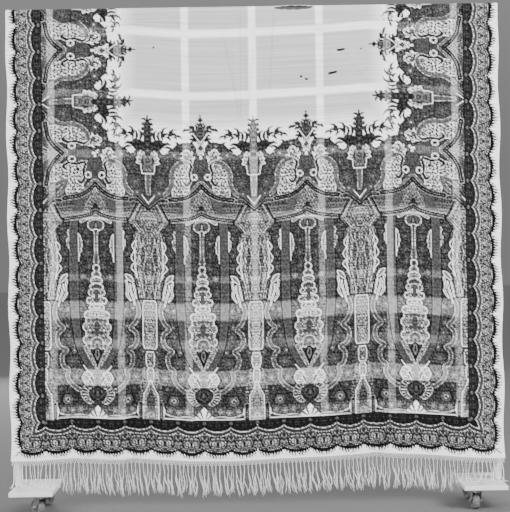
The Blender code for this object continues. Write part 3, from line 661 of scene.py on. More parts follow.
def draw_column(p):
    """Between two panels: flowers, then boxes with chamfered corners and a lance below."""
    off = HALF_REPEAT - p.x
    p.fill(p.torch_bars([(0, 240, 8.0), (0, 226, 7.0)]), scrolls(off, p.y, 3.0, GREY * 1.2, DARK, 41))
    core = within(off - 2.2, 0.4) * within(p.y - 226, 0.5) * within(160 - p.y, 0.5)
    p.lay(core, scrolls(off, p.y, 2.4, GREY * 1.3, DARK, 43))
    for swing in (4.4, 9.2):
        wave = swing + 1.3 * np.sin(p.y / 4.6 + swing)
        p.lay(within(np.abs(off - wave) - 0.45) * within(p.y - 222, 0.6) * within(160 - p.y, 0.6), PALE)
    for y, tall, wide, tone in COLUMN_BOXES:
        chamfer = np.clip(np.abs(p.y - y) - tall + 4, 0, 4) * 0.3
        box = np.maximum(off - wide + chamfer, np.abs(p.y - y) - tall)
        p.nest(box, (BLACK, 0.9), (WHITE, 0.4), (scrolls(off, p.y, 2.8, tone * 1.35, DARK, 51), -0.8))
        p.line(box, GREY, 0.3, 1.9)
    for x, y, radius in COLUMN_ROSES:
        for place in {x, -x}:
            rose = p.disc(HALF_REPEAT - place, y, radius, 6, 0.15)
            p.nest(rose, (PALE, 0.0), (DEEP, -0.7), (PALE, -1.7))
    lance = np.maximum(p.torch_bars([(0, 79, 0.4), (0, 62, 7.4), (0, 41, 7.6)]), 38 - p.y)
    p.nest(lance, (WHITE, 0.5), (scrolls(off, p.y, 2.8, MID, PALE, 53), -0.7))
    p.line(lance, PALE * 0.9, 0.35, 2.0)
    p.fill(lance, florets(off, p.y, 3.6, DARK, GREY, 54, 0.9), -3.6)
    p.fill(p.torch_bars([(0, 43, 4.6), (0, 36, 3.4)]), florets(off, p.y, 2.8, GREY, WHITE, 55, 0.9))


def draw_base(p):
    """A pale base line with a flourish at the corner of each panel, and the dark ground under it."""
    p.lay(within(p.y - 40, 0.5), BLACK)
    p.fill(np.maximum(np.abs(p.y - 41.3) - 0.6, p.x - 41), WHITE)
    p.fill(p.curve([(9, 43, 0.3), (18, 44, 0.7), (27, 43, 0.5), (36, 45, 0.8), (40, 47, 1.0)], 4), PALE)
    p.fill(p.curve([(41, 43, 0.8), (40.2, 48, 1.4), (40.8, 54, 0.2)], 4), WHITE)
    p.dotted([(42.8, 41), (42.8, 55)], 1.6)


def draw_bands(p):
    """The tent between the dotted bands, the bands themselves, and the dark V under each torch."""
    off = HALF_REPEAT - p.x
    between = within(p.y - np.interp(p.x, [0, 9, 17, 32, 46], [274, 266, 262, 260, 253]), 0.5)
    between = between * within(np.interp(p.x, [0, 13, 32, 33, 44], [248, 243, 240, 240, 256]) - p.y, 0.5)
    p.lay(between, scrolls(p.x, p.y, 3.0, GREY, DARK, 71))
    upper = within(253 - p.y, 2.0) * within(10 - p.x, 1.0)
    p.lay(between * upper, florets(p.x, p.y, 3.4, DEEP, GREY, 72, 0.9))
    stripe = p.bars([(13.0, 265, 3.0), (19, 246, 3.4)])
    p.lay(within(stripe) * between, MID)
    tent = np.maximum(np.maximum(p.x * 1.85 + p.y - 272, 247 - p.y), 2 * p.x - 60)
    p.nest(tent, (PALE, 0.0), (scrolls(p.x, p.y, 2.6, GREY * 1.15, DARK, 61), -1.0))
    p.fill(np.maximum(p.x * 1.9 + p.y - 258, 248 - p.y), DARK)
    p.line(p.bars([(0, 262, 2.6), (0, 259, 2.6)]), PALE * 0.8, 0.35)
    p.dotted([(0, 247.4), (6, 244.4), (13, 242.4), (22, 240.8), (31.7, 239.6)], 2.0)
    p.fill(p.bars([(32, 237, 0.9), (42, 256, 0.9)]), BLACK)
    p.fill(p.bars([(34.8, 237, 0.5), (44.4, 254, 0.5)]), PALE)
    p.dotted([(0, 275.3), (4, 271), (8.9, 266.8), (17.4, 262.6), (31.7, 260.2)], 2.1)
    p.dotted([(35, 258.5), (39, 259.0), (42, 258)], 1.5)
    p.lay(within(off - 9.5, 0.5) * within(np.abs(p.y - 256 - 0.9 * off) - 4, 0.5), MID)
    near_torch = within(off - 11.5)
    p.lay(within(np.abs(p.y - 250.5 - 0.86 * off) - 2.3) * near_torch, BLACK)
    p.lay(within(np.abs(p.y - 250.8 - 0.86 * off) - 0.35, 0.25) * near_torch, GREY)
    p.lay(within(np.abs(p.y - 255.6 - 1.25 * off) - 0.9, 0.25) * within(off - 6.5), WHITE)


DARKEST_CUT = 0.17
PALEST_CUT = 0.90
DARKEST_INK = 0.07


def engrave(p, pitch, strength, seed):
    """Scattered small open rings with an eye, as fine block cutting leaves: paler on dark, darker on pale.

    Only the middle tones take them, so that outlines and whites stay clean.
    """
    dx, dy, column, row = scattered(p.x, p.y, pitch, 0.5, (seed, seed + 1))
    size = pitch * (0.24 + 0.16 * hashed(column, row, seed + 2))
    turn = np.arctan2(dy, dx) + 2 * np.pi * hashed(column, row, seed + 3)
    ring = within(np.abs(np.hypot(dx, dy) - size * (1 + 0.16 * np.cos(5 * turn))) - 0.42, 0.3)
    eye = within(np.hypot(dx, dy) - 0.24 * size, 0.3)
    ground = within(DARKEST_CUT - p.tone, 0.04) * within(p.tone - PALEST_CUT, 0.04) * (1 - p.bare)
    mark = (ring * (np.cos(turn) > -0.75) + 0.8 * eye) * strength * ground
    p.tone += np.where(p.tone < 0.5, (GREY - p.tone) * mark, (DARK - p.tone) * mark)


def sharpen(p, reach, amount):
    """Moves each tone away from the mean of the square around it, so that outlines stand out.

    The mean comes from running totals: the total at a window's end less the total just before its start.
    """
    mean = np.pad(p.tone, reach, mode="edge")
    for axis in (0, 1):
        total = np.cumsum(mean, axis=axis)
        width = 2 * reach + 1
        upper = np.take(total, np.arange(width - 1, total.shape[axis]), axis=axis)
        lower = np.take(total, np.arange(0, total.shape[axis] - width), axis=axis)
        edge = np.zeros_like(np.take(total, [0], axis=axis))
        mean = (upper - np.concatenate([edge, lower], axis=axis)) / width
    p.tone[:] = np.clip(p.tone + amount * (p.tone - mean), DARKEST_INK, WHITE)


draw_panel_ground(draft)
draw_stripes(draft)
draw_ornament(draft)
draw_column(draft)
draw_base(draft)
draw_bands(draft)
engrave(draft, 4.3, 0.55, 101)
engrave(draft, 2.7, 0.30, 131)
sharpen(draft, 7, 0.75)
print("mean tone of the panel", round(float(draft.tone[45 * FINE:245 * FINE].mean()), 2))

# %% [markdown]
# Along the hem and both sides runs a narrow edging: a white border, dark fuzzy tufts that hang from a
# scalloped chain of dots, a band of oval flowers, two pale scalloped lines and dark segments with small
# flowers. It repeats every quarter of the big motif, from one cusp to the next, so it gets its own small
# draft, measured inwards from the edge.

# %% Edging with scallops and tufts
SCALLOP = 13.25
EDGING = 40.0


def draw_edging(p):
    """x runs from a cusp, where the scallops reach furthest in, to a lobe's middle, and y inwards."""
    lobe = np.sqrt(np.clip(1 - ((SCALLOP - p.x) / SCALLOP) ** 2, 0, 1))
    chain = 15.8 - 5.4 * lobe
    inner = 31.8 - 6.4 * lobe
    p.tone[:] = WHITE
    fuzz = 0.5 + 0.5 * np.cos(np.pi * p.x / 1.35 + 1.2 * np.sin(p.y * 1.1))
    reach = 6.6 * lobe**0.6 + 1.8
    p.lay(within(chain - reach * (0.45 + 0.55 * fuzz) - p.y, 0.6), scrolls(p.x, p.y, 2.2, GREY, DARK, 80))
    p.lay(within(chain - 1.6 - reach * 0.45 * (0.4 + fuzz) - p.y, 0.5), DARK)
    p.fill(chain - p.y, scrolls(p.x, p.y, 2.6, GREY * 1.15, DARK, 81))
    p.line(chain - p.y, BLACK, 1.3, -0.1)
    dots = np.hypot((p.x / 1.9 - np.floor(p.x / 1.9) - 0.5) * 1.9, p.y - chain - 0.1)
    p.fill(dots, WHITE, 0.5)
    p.line(chain - p.y, PALE * 0.85, 0.45, 2.4)
    oval = p.bars([(SCALLOP, 17.6, 4.2), (SCALLOP - 4.6, 18.2, 3.5)])
    p.nest(oval, (DARK, 0.8), (florets(p.x, p.y, 3.0, PALE * 0.85, WHITE, 82, 0.9), 0.0))
    p.line(oval, MID, 0.4, 1.5)
    p.fill(p.disc(SCALLOP, 17.8, 1.5), MID)
    p.fill(p.disc(SCALLOP, 17.8, 0.8), DARK)
    p.nest(p.disc(0, 22.6, 3.1), (DARK, 0.7), (PALE * 0.85, 0.0), (MID, -1.3))
    p.fill(inner - p.y, florets(p.x, p.y, 3.6, DARK, MID, 83, 0.9))
    p.fill(p.disc(SCALLOP, 34, 2.6, 6), MID)
    p.fill(p.disc(SCALLOP, 34, 1.2), DARK)
    p.fill(p.disc(SCALLOP / 2, 35.5, 1.2), MID)
    p.line(inner - p.y, MID * 1.1, 2.4)
    for step in (-2.3, 2.3):
        p.line(inner + step - p.y, PALE, 0.62)
    p.fill(p.disc(0, 37, 1.8), GREY)
    p.fill(39.2 - p.y, BLACK)


edging = Draft(SCALLOP, EDGING, WHITE)
draw_edging(edging)
WHITE_BORDER = 10.0
edging.bare = within(edging.y - WHITE_BORDER, 1.0)
engrave(edging, 3.1, 0.5, 151)
sharpen(edging, 7, 0.7)
print("mean tone of the edging", round(float(edging.tone.mean()), 2))

# %% [markdown]
# The cloth is planned in squares too: so many in from a side edge, and so many up from the nearest hem.
# The big motifs stand on the hem, and at the mitred corners they turn to stand on the side borders. The
# weave has a plaid of shiny satin bands under the print, and their sheen is also painted into the tone as
# a painted sheen. Faint lines of painted shade mark fine creases in the plain middle. The looked-up tones
# are blended between draft points, or motifs would look torn.

# %% Where each motif falls on the cloth
HALF_CLOTH = 0.826
SIDE_ARCHES = (409.0, 306.0)
SIDE_REPEAT = 103.0
HORIZON = 257.0
MIDDLE_ROW = 455.0
SATIN_ACROSS = (0.0, 67.5, 135.0, 202.5)
SATIN_WIDE = 7.1
SATIN_UP = [
    # squares above the hem, width, strength
    (428, 8, 0.7), (365.5, 8, 0.7), (305, 8, 0.6), (242.5, 9, 0.7), (181, 6.5, 0.6), (148.5, 17, 1.0),
    (115.5, 9, 0.6), (82, 16, 1.0), (47, 12, 0.6),
]
# Squares in from a side or the hem, and the draft's squares that lie there
SIDE_FIT = ([0, 9, 35, 90, 999], [0, 9.5, 40, 90, 999])
HEM_FIT = ([0, 14, 24, 40, 999], [0, 16, 22.5, 40, 999])
CROWN_FOOT = 260
FINIAL_TOP = 350
WHITE_ABOVE = 338
# Painted sheen: how much lighter the shiny satin bands are painted, on bare cloth and on the print.
PAINTED_SHEEN_WHITENS = 1.6
PAINTED_SHEEN_LIGHTENS = 0.50
# Painted shade of fine creases: how deep and how wide the faint dark lines down the plain middle are.
CREASE_SHADE_DEEP = 0.06
CREASE_SHADE_WIDE = 0.7
PLAIN = 0.80
CREASE_SHADE_LINES = [
    # x and squares up at the low end, x and squares up at the high end
    (-0.050, 350, -0.094, 424), (-0.041, 345, -0.037, 452), (0.057, 366, 0.077, 452),
    (-0.012, 352, 0.004, 410),
]
HEM_DARKER = 1.35
SIDE_DARKER = 1.12


def look_up(tones, x, y):
    """Tone of a draft at fractional places: the four nearest points, each weighted by its nearness."""
    rows, columns = tones.shape
    x = np.clip(x * FINE, 0, columns - 1.001)
    y = np.clip(y * FINE, 0, rows - 1.001)
    left, low = x.astype(int), y.astype(int)
    u, v = x - left, y - low
    below = tones[low, left] * (1 - u) + tones[low, left + 1] * u
    above = tones[low + 1, left] * (1 - u) + tones[low + 1, left + 1] * u
    return below * (1 - v) + above * v


def from_arch(place):
    """Squares from the middle of the nearest arch. Arches stand half a repeat to each side of the middle."""
    return np.abs(place % (2 * HALF_REPEAT) - HALF_REPEAT)


def cloth_tone(x, rows):
    """Printed tone, with painted sheen and painted crease shade, and share of satin, at x metres from the
    middle line and so many squares above the hem.
    """
    side = np.interp((HALF_CLOTH - np.abs(x)) / SQUARE, *SIDE_FIT)
    inner = side - EDGING
    stands_on_hem = rows - HORIZON < inner
    along = np.abs((rows - SIDE_ARCHES[0] + SIDE_REPEAT / 2) % SIDE_REPEAT - SIDE_REPEAT / 2)
    place = np.where(stands_on_hem, from_arch(x / SQUARE), along * 2 * HALF_REPEAT / SIDE_REPEAT)
    reach = np.where(stands_on_hem, rows, HORIZON + inner)
    tone = look_up(draft.tone, place, reach)
    bare = look_up(draft.bare, place, reach) * within(CROWN_FOOT - reach, 1.0)
    bare = np.maximum(bare, within(FINIAL_TOP - reach, 1.0))
    plain = PLAIN + (WHITE - PLAIN) * within(reach - WHITE_ABOVE, 10.0)
    tone = tone + (plain - tone) * bare
    satin = 0.0
    for middle in SATIN_ACROSS:
        satin = satin + within(np.abs(np.abs(x / SQUARE) - middle) - SATIN_WIDE / 2, 0.6)
    for middle, wide, strength in SATIN_UP:
        satin = satin + strength * within(np.abs(rows - middle) - wide / 2, 0.8)
    satin = np.clip(satin, 0, 1.2)
    # Painted sheen: satin bands whiten bare cloth and lighten the print.
    on_bare = tone + (WHITE - tone) * np.clip(satin * PAINTED_SHEEN_WHITENS, 0, 1)
    tone = np.where(bare > 0.5, on_bare, tone ** (1 - PAINTED_SHEEN_LIGHTENS * satin))
    # Painted shade: the tone is darker along faint crease lines in the plain middle.
    for low_x, low, high_x, high in CREASE_SHADE_LINES:
        off = (x - np.interp(rows, [low, high], [low_x, high_x])) / SQUARE
        shown = within(np.maximum(low - rows, rows - high), 4.0)
        tone = tone * (1 - CREASE_SHADE_DEEP * shown * np.exp(-((off / CREASE_SHADE_WIDE) ** 2)))
    hem_rows = np.interp(rows, *HEM_FIT)
    inwards = np.minimum(side, hem_rows)
    cusp = np.where(side < hem_rows, rows - SIDE_ARCHES[0], x / SQUARE)
    cusp = np.abs((cusp + SCALLOP) % (2 * SCALLOP) - SCALLOP)
    on_edge = inwards < EDGING
    edge_tone = look_up(edging.tone, cusp, inwards)
    edge_tone = edge_tone ** np.where(side < hem_rows, SIDE_DARKER, HEM_DARKER)
    return np.where(on_edge, edge_tone, tone), np.where(on_edge, 0, satin)


print("squares across", round(2 * HALF_CLOTH / SQUARE), "and from hem to hem", round(2 * MIDDLE_ROW))

# %% [markdown]
# The cloth hangs from the round of the rail and spreads a little towards its hem. Broad folds grow out of
# it as it falls, and two narrow creases on the front turn inwards where it is caught. These are the CAD
# solid's own sums and sizes, so that the fine cloth lies on the solid's form. Every point is worked out
# from its place on the cloth.

# %% How the cloth hangs
HEM = [
    # x, z
    (-0.826, 0.170), (-0.730, 0.171), (-0.619, 0.177), (-0.450, 0.170), (-0.408, 0.175),
    (-0.285, 0.165), (-0.218, 0.160), (-0.084, 0.160), (0.151, 0.169), (0.251, 0.173),
    (0.385, 0.182), (0.519, 0.176), (0.687, 0.163), (0.826, 0.156),
]
FRONT_FOLDS = [
    # x, width, depth, top, run
    (-0.745, 0.085, 0.008, 1.30, 0.80), (-0.610, 0.060, -0.006, 1.00, 0.70),
    (-0.500, 0.045, 0.009, 0.75, 0.45), (-0.427, 0.018, -0.015, 0.62, 0.30),
    (-0.365, 0.045, 0.008, 0.80, 0.45), (-0.215, 0.070, -0.005, 1.20, 0.80),
    (-0.062, 0.060, 0.006, 1.60, 1.10), (0.062, 0.050, -0.006, 1.60, 1.10),
    (0.190, 0.070, 0.006, 1.20, 0.80), (0.325, 0.045, 0.009, 0.80, 0.45),
    (0.399, 0.018, -0.016, 0.66, 0.30), (0.470, 0.045, 0.009, 0.80, 0.45),
    (0.600, 0.065, -0.006, 1.10, 0.80), (0.730, 0.080, 0.008, 1.30, 0.80),
]
BACK_FOLDS = [
    # x, width, depth, top, run
    (-0.720, 0.080, 0.008, 1.30, 0.80), (-0.560, 0.060, -0.008, 1.10, 0.70),
    (-0.400, 0.070, 0.010, 0.95, 0.60), (-0.280, 0.022, -0.013, 0.70, 0.35),
    (-0.130, 0.065, 0.007, 1.30, 0.90), (0.040, 0.060, -0.006, 1.45, 1.00),
    (0.200, 0.070, 0.008, 1.20, 0.80), (0.350, 0.050, -0.007, 0.90, 0.50),
    (0.520, 0.020, -0.014, 0.68, 0.32), (0.600, 0.050, 0.009, 0.90, 0.50),
    (0.750, 0.070, 0.006, 1.25, 0.80),
]
CREASES = [
    # x and z at the top, x and z at the bottom, width, depth
    (-0.790, 1.47, -0.700, 1.40, 0.010, 0.0030), (-0.826, 0.955, -0.680, 0.925, 0.008, -0.0040),
    (-0.826, 0.715, -0.700, 0.690, 0.008, -0.0035), (-0.070, 1.62, -0.010, 1.10, 0.012, 0.0016),
    (-0.045, 1.60, 0.020, 1.02, 0.009, -0.0014), (0.020, 1.60, -0.030, 1.15, 0.010, 0.0012),
    (0.310, 1.55, 0.420, 1.38, 0.010, 0.0014), (-0.300, 1.50, -0.360, 1.20, 0.012, 0.0012),
    (0.826, 1.10, 0.700, 1.06, 0.008, -0.0030), (0.826, 0.62, 0.720, 0.60, 0.009, 0.0030),
    (-0.440, 0.62, -0.415, 0.18, 0.007, -0.0030), (0.405, 0.66, 0.392, 0.20, 0.007, -0.0030),
    (-0.560, 0.50, -0.520, 0.17, 0.012, 0.0020), (0.560, 0.52, 0.520, 0.17, 0.012, 0.0020),
    (0.180, 0.55, 0.200, 0.17, 0.010, -0.0018), (-0.150, 0.48, -0.180, 0.17, 0.011, 0.0018),
]
RAIL_RADIUS = 0.016
CLOTH = 0.0012
SEAM = 0.0003
CREST = 1.686
LEG = 0.030
WALL_OUT = RAIL_RADIUS + SEAM + CLOTH / 2
ARCH_Z = CREST - CLOTH - SEAM - RAIL_RADIUS
SEAM_Z = ARCH_Z - LEG
HEM_FLARE = 0.017
RIPPLE = 0.0005
WANDER = 0.0030
SIDE_CREASE = 0.8


def hem_height(x):
    places, heights = np.array(HEM).T
    return np.interp(x, places, heights)


def crease_depth(x, z):
    """Soft troughs and ridges: a bell across each line, which fades at its ends but not at a side edge."""
    total = np.zeros(x.shape)
    for top_x, top_z, low_x, low_z, width, depth in CREASES:
        dx, dz = low_x - top_x, low_z - top_z
        long = math.hypot(dx, dz)
        along = ((x - top_x) * dx + (z - top_z) * dz) / long**2
        off = ((x - top_x) * dz - (z - top_z) * dx) / long
        if abs(top_x) < SIDE_CREASE:
            ends = ease(along / 0.25) * ease((1 - along) / 0.35)
        else:
            ends = ease((1 - along) / 0.6)
        total += depth * ends * (along > -0.1) * np.exp(-((off / width) ** 2))
    return total


def fall(side, x, down, folds):
    """Points of one fall at x along the rail and a share of the way down. Folds grow as the cloth falls."""
    top = SEAM_Z - SEAM / 2
    z = top + (hem_height(x) - top) * down
    share = np.clip((SEAM_Z - z) / (SEAM_Z - hem_height(x)), 0, 1)
    out = WALL_OUT + HEM_FLARE * share**1.2
    for place, width, depth, fold_top, run in folds:
        grown = ease((fold_top - z) / run) * ease((SEAM_Z - z) / 0.20)
        out = out + depth * grown * np.exp(-(((x - place) / width) ** 2))
    ripple = np.sin(41 * x + 7 * z) * np.sin(17 * z + 3 * x + side) + 0.6 * np.sin(93 * x - 11 * z)
    out = out + crease_depth(side * -x, z) * (share > 0.02) + RIPPLE * ripple * ease(share / 0.05)
    wander = WANDER * np.sin(2 * np.pi * z / 0.29 + 0.8 * side) * ease(down / 0.1)
    return np.stack([x + wander * np.sign(x) * (np.abs(x) / HALF_CLOTH) ** 8, side * out, z], axis=-1)


print("rows of cloth from hem to fold", round((SEAM_Z - hem_height(0)) / SQUARE))

# %% [markdown]
# A rip is a slit whose lips have drawn apart. The faces that cross the slit are left out, and points
# close to it move off its line, most in its middle and not at all at its ends.

# %% Rips
RIPS = [
    # x, z, length, gape, slope in degrees
    (0.298, 1.534, 0.030, 0.0052, 3.0), (0.270, 1.457, 0.034, 0.0052, 14.0),
    (0.164, 1.446, 0.012, 0.0050, -20.0), (0.181, 1.436, 0.014, 0.0056, 10.0),
    (-0.331, 1.550, 0.008, 0.0048, 0.0), (0.366, 1.536, 0.009, 0.0046, 30.0),
]
CREST_RIP = (0.142, 1.6775, 0.132, 0.013, 1.0)
RAGGED_STEP = 0.004
LIP_FADE = 0.008
CUT_REACH = 0.006


def open_rip(points, faces, rip, up):
    """Moves points off the slit and gives the faces that don't cross it. Up is a point's height."""
    x, z, length, gape, slope = rip
    angle = math.radians(slope)
    dx, dz = points[:, 0] - x, up - z
    along = dx * math.cos(angle) + dz * math.sin(angle)
    off = dz * math.cos(angle) - dx * math.sin(angle)
    reach = np.clip(1 - (2 * along / length) ** 2, 0, 1) ** 0.7
    lip = np.where(off >= 0, 1.0, -1.0)
    ragged = 0.7 + 0.6 * hashed(np.round(along / RAGGED_STEP), lip, 5)
    moved = lip * reach * ragged * gape / 2 * np.exp(-np.abs(off) / LIP_FADE)
    points[:, 2] += moved * math.cos(angle)
    points[:, 0] -= moved * math.sin(angle)
    on_lip = reach[faces] > 0
    crosses = (lip[faces].max(axis=1) > lip[faces].min(axis=1)) & on_lip.all(axis=1)
    near = (np.abs(off[faces]) < CUT_REACH).all(axis=1)
    return faces[~(crosses & near)]


print(len(RIPS) + 1, "rips, the longest", round(CREST_RIP[2] * 1000), "mm")

# %% [markdown]
# The printed tone of each point goes into the mesh as an attribute, and the shader reads it back. Over it
# come what is too fine for the mesh: the threads of the weave, darker and lighter yarns, worn patches and
# a satin sheen where the bands are woven so. The cloth's own map is in metres, so threads keep their real
# size on every piece.

# %% Printed wool
THREAD = 0.0011
CONTRAST = 3.5
WEFT_SHADE = 0.26
WARP_SHADE = 0.16
SPECK_SHADE = 0.50
STREAK_SHADE = 0.95
WEAR = 0.10
SATIN_SMOOTHER = 0.32


def wool():
    material, surface, start = new_material("printed wool", 0.85)
    tone = start.node("ShaderNodeAttribute", {"attribute_name": "tone"}, {}, "Fac")
    satin = start.node("ShaderNodeAttribute", {"attribute_name": "satin"}, {}, "Fac")
    place = start.node("ShaderNodeUVMap", {"uv_map": "cloth"})
    across = place.part(0)
    up = place.part(1)
    weft = place.drawn_out((14.0, 420.0, 1.0), 2.0)
    warp = place.drawn_out((420.0, 16.0, 1.0), 2.0)
    streak = place.drawn_out((2.6, 190.0, 1.0), 3.0)
    speck = start.noise(place, 520.0, 2.0)
    patch = start.noise(place, 7.0, 4.0)
    yarn = (weft - 0.5) * WEFT_SHADE + (warp - 0.5) * WARP_SHADE + (speck - 0.5) * SPECK_SHADE
    pale = tone.between(0.35, 0.75)
    albedo = tone * (1.0 + yarn * (1.0 - 0.62 * pale))
    albedo = albedo * (1.0 + (streak - 0.5) * STREAK_SHADE) * (1.0 - (patch - 0.5) * WEAR)
    start.plug(surface.inputs["Base Color"], albedo.grey())
    start.plug(surface.inputs["Roughness"], 0.88 - SATIN_SMOOTHER * satin)
    ribs = (across * (2 * math.pi / THREAD)).sine() * (up * (2 * math.pi / THREAD)).sine()
    bump(start, surface, ribs + 1.2 * speck + 0.8 * weft, 0.00035, 0.5)
    surface.inputs["Sheen Weight"].default_value = 0.02
    surface.inputs["Specular IOR Level"].default_value = 0.12
    return material


printed_wool = wool()
print("threads to the metre", round(1 / THREAD))

# %% [markdown]
# The front is the side that is looked at, so its grid is a little finer than one draft square, in three
# strips that meet along warp threads. The stretch over the rail and the back use the same function with
# their own grids. A strip's points are found first, then its rips are opened, and last its tones are
# looked up from where each point lies on the cloth.

# %% The cloth's pieces
STEP = 0.0030
BACK_STEP = 0.0058
LOW_HEM = 0.165
RAIL_ROWS = 40
RAIL_COLUMNS = 552
NO_RIP = 9.0
MIDDLE_HALF = 0.276
STRIPS = [
    # name, x where it starts, x where it ends
    ("left", -HALF_CLOTH, -MIDDLE_HALF), ("middle", -MIDDLE_HALF, MIDDLE_HALF),
    ("right", MIDDLE_HALF, HALF_CLOTH),
]


def cloth_piece(name, points, faces, x, rows, run):
    """A piece of cloth with its tone, satin and map, which come from each point's place on the cloth."""
    item = mesh_piece(name, points, [faces], printed_wool)
    tone, satin = cloth_tone(x, rows)
    for label, values in (("tone", tone**CONTRAST), ("satin", satin)):
        attribute = item.data.attributes.new(label, "FLOAT", "POINT")
        attribute.data.foreach_set("value", values.astype(np.float32))
    corners = np.zeros(len(item.data.loops), np.int32)
    item.data.loops.foreach_get("vertex_index", corners)
    layer = item.data.uv_layers.new(name="cloth")
    layer.data.foreach_set("uv", np.stack([x, run], axis=-1)[corners].astype(np.float32).ravel())
    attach(item, "stand_and_shawl")
    return item


def fall_piece(name, side, folds, start, end, step, rips=()):
    """One strip of a fall, from the fold over the rail down to the hem."""
    columns = round((end - start) / step) + 1
    rows = round((SEAM_Z - LOW_HEM) / step) + 1
    x, down = np.meshgrid(np.linspace(start, end, columns), np.linspace(0, 1, rows))
    points = fall(side, x, down, folds).reshape(-1, 3)
    faces = grid_faces(rows, columns, turned=side > 0)
    up = points[:, 2].copy()
    for rip in rips:
        faces = open_rip(points, faces, rip, up)
    top = SEAM_Z - SEAM / 2
    walked = (1 - down.ravel()) * (top - hem_height(x.ravel()))
    return cloth_piece(name, points, faces, x.ravel(), walked / SQUARE, side * walked)


def rail_piece():
    """The stretch over the rail: up a leg, round half a circle, and down the other leg."""
    arc = np.pi * WALL_OUT
    walked = np.linspace(0, 2 * LEG - SEAM + arc, RAIL_ROWS)
    turn = np.clip((walked - LEG + SEAM / 2) / WALL_OUT, 0, np.pi)
    rise = np.minimum(walked, LEG - SEAM / 2)
    sink = np.maximum(walked - LEG + SEAM / 2 - arc, 0)
    y = -WALL_OUT * np.cos(turn)
    z = SEAM_Z + SEAM / 2 + rise + WALL_OUT * np.sin(turn) - sink
    x, row = np.meshgrid(np.linspace(-HALF_CLOTH, HALF_CLOTH, RAIL_COLUMNS), np.arange(RAIL_ROWS))
    points = np.stack([x, y[row], z[row]], axis=-1).reshape(-1, 3)
    faces = grid_faces(*x.shape, turned=True)
    height = np.where(turn < np.pi / 2, z, NO_RIP)[row].ravel()
    faces = open_rip(points, faces, CREST_RIP, height)
    below = (SEAM_Z - hem_height(0.0)) / SQUARE
    squares = below + walked / SQUARE
    squares = np.minimum(squares, 2 * MIDDLE_ROW - squares)
    squares, walked = squares[row].ravel(), walked[row].ravel()
    return cloth_piece("cloth_over_rail", points, faces, x.ravel(), squares, walked)


front_pieces = []
for label, start, end in STRIPS:
    front_pieces.append(fall_piece(f"cloth_front_{label}", -1, FRONT_FOLDS, start, end, STEP, RIPS))
over_rail = rail_piece()
back_piece = fall_piece("cloth_back", 1, BACK_FOLDS, -HALF_CLOTH, HALF_CLOTH, BACK_STEP)
for item in front_pieces:
    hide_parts("shawl_front")
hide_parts("shawl_over_rail")
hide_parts("shawl_back")
print("quads of cloth", sum(len(item.data.polygons) for item in [*front_pieces, over_rail, back_piece]))

# %% [markdown]
# Below each hem the warp threads are knotted into a narrow net, and hang from it as loose strands. Each
# strand is three plies that wind round each other and part towards the frayed tip. A strand's path is a
# few points with a curve through them, and a ply winds round that path in a helix. At each foot board the
# strands bend over it.

# %% Threads of the fringe
STRANDS = 122
FRINGE = 0.118
HEADING = 0.015
HEM_GAP = 0.0005
BOARD_TOP = 0.0825
STRAND_DEPTH = 0.0024
FREE_HALF = 0.667
PLY_RADIUS = 0.00066
PLY_STEPS = 15
TWISTS = 5.5
NET_PITCH = 0.0068
NET_ROWS = 2.5
NET_RADIUS = 0.0007
CORNER_STRANDS = 3
CORNER_FATTER = 1.5
TUBE_SIDES = 4
YARN_TONE = 0.72
SWING_LEAST = 0.002
SWING_MORE = 0.006
PLY_APART = 0.00085
FRAYED_APART = 0.0016
FRAYS_FROM = 0.72
STRAY = 0.0042
KNOT_RADIUS = 0.0019
KNOT_HALF = 0.0024
CLUMPS = [
    # sideways reach, turns of the wave to the metre in radians, phase that each side of the rail adds
    (0.0055, 71.0, 1.3), (0.0045, 157.0, 0.0),
]


def wool_yarn():
    material, surface, start = new_material("fringe yarn", 0.8)
    place = start.node("ShaderNodeTexCoord", {}, {}, "Object")
    shade = start.noise(place, 60.0, 3.0)
    fibre = start.noise(place, 1400.0, 2.0)
    start.plug(surface.inputs["Base Color"], (YARN_TONE + 0.34 * (shade - 0.5) + 0.22 * (fibre - 0.5)).grey())
    bump(start, surface, fibre, 0.0003)
    surface.inputs["Sheen Weight"].default_value = 0.1
    return material


yarn = wool_yarn()


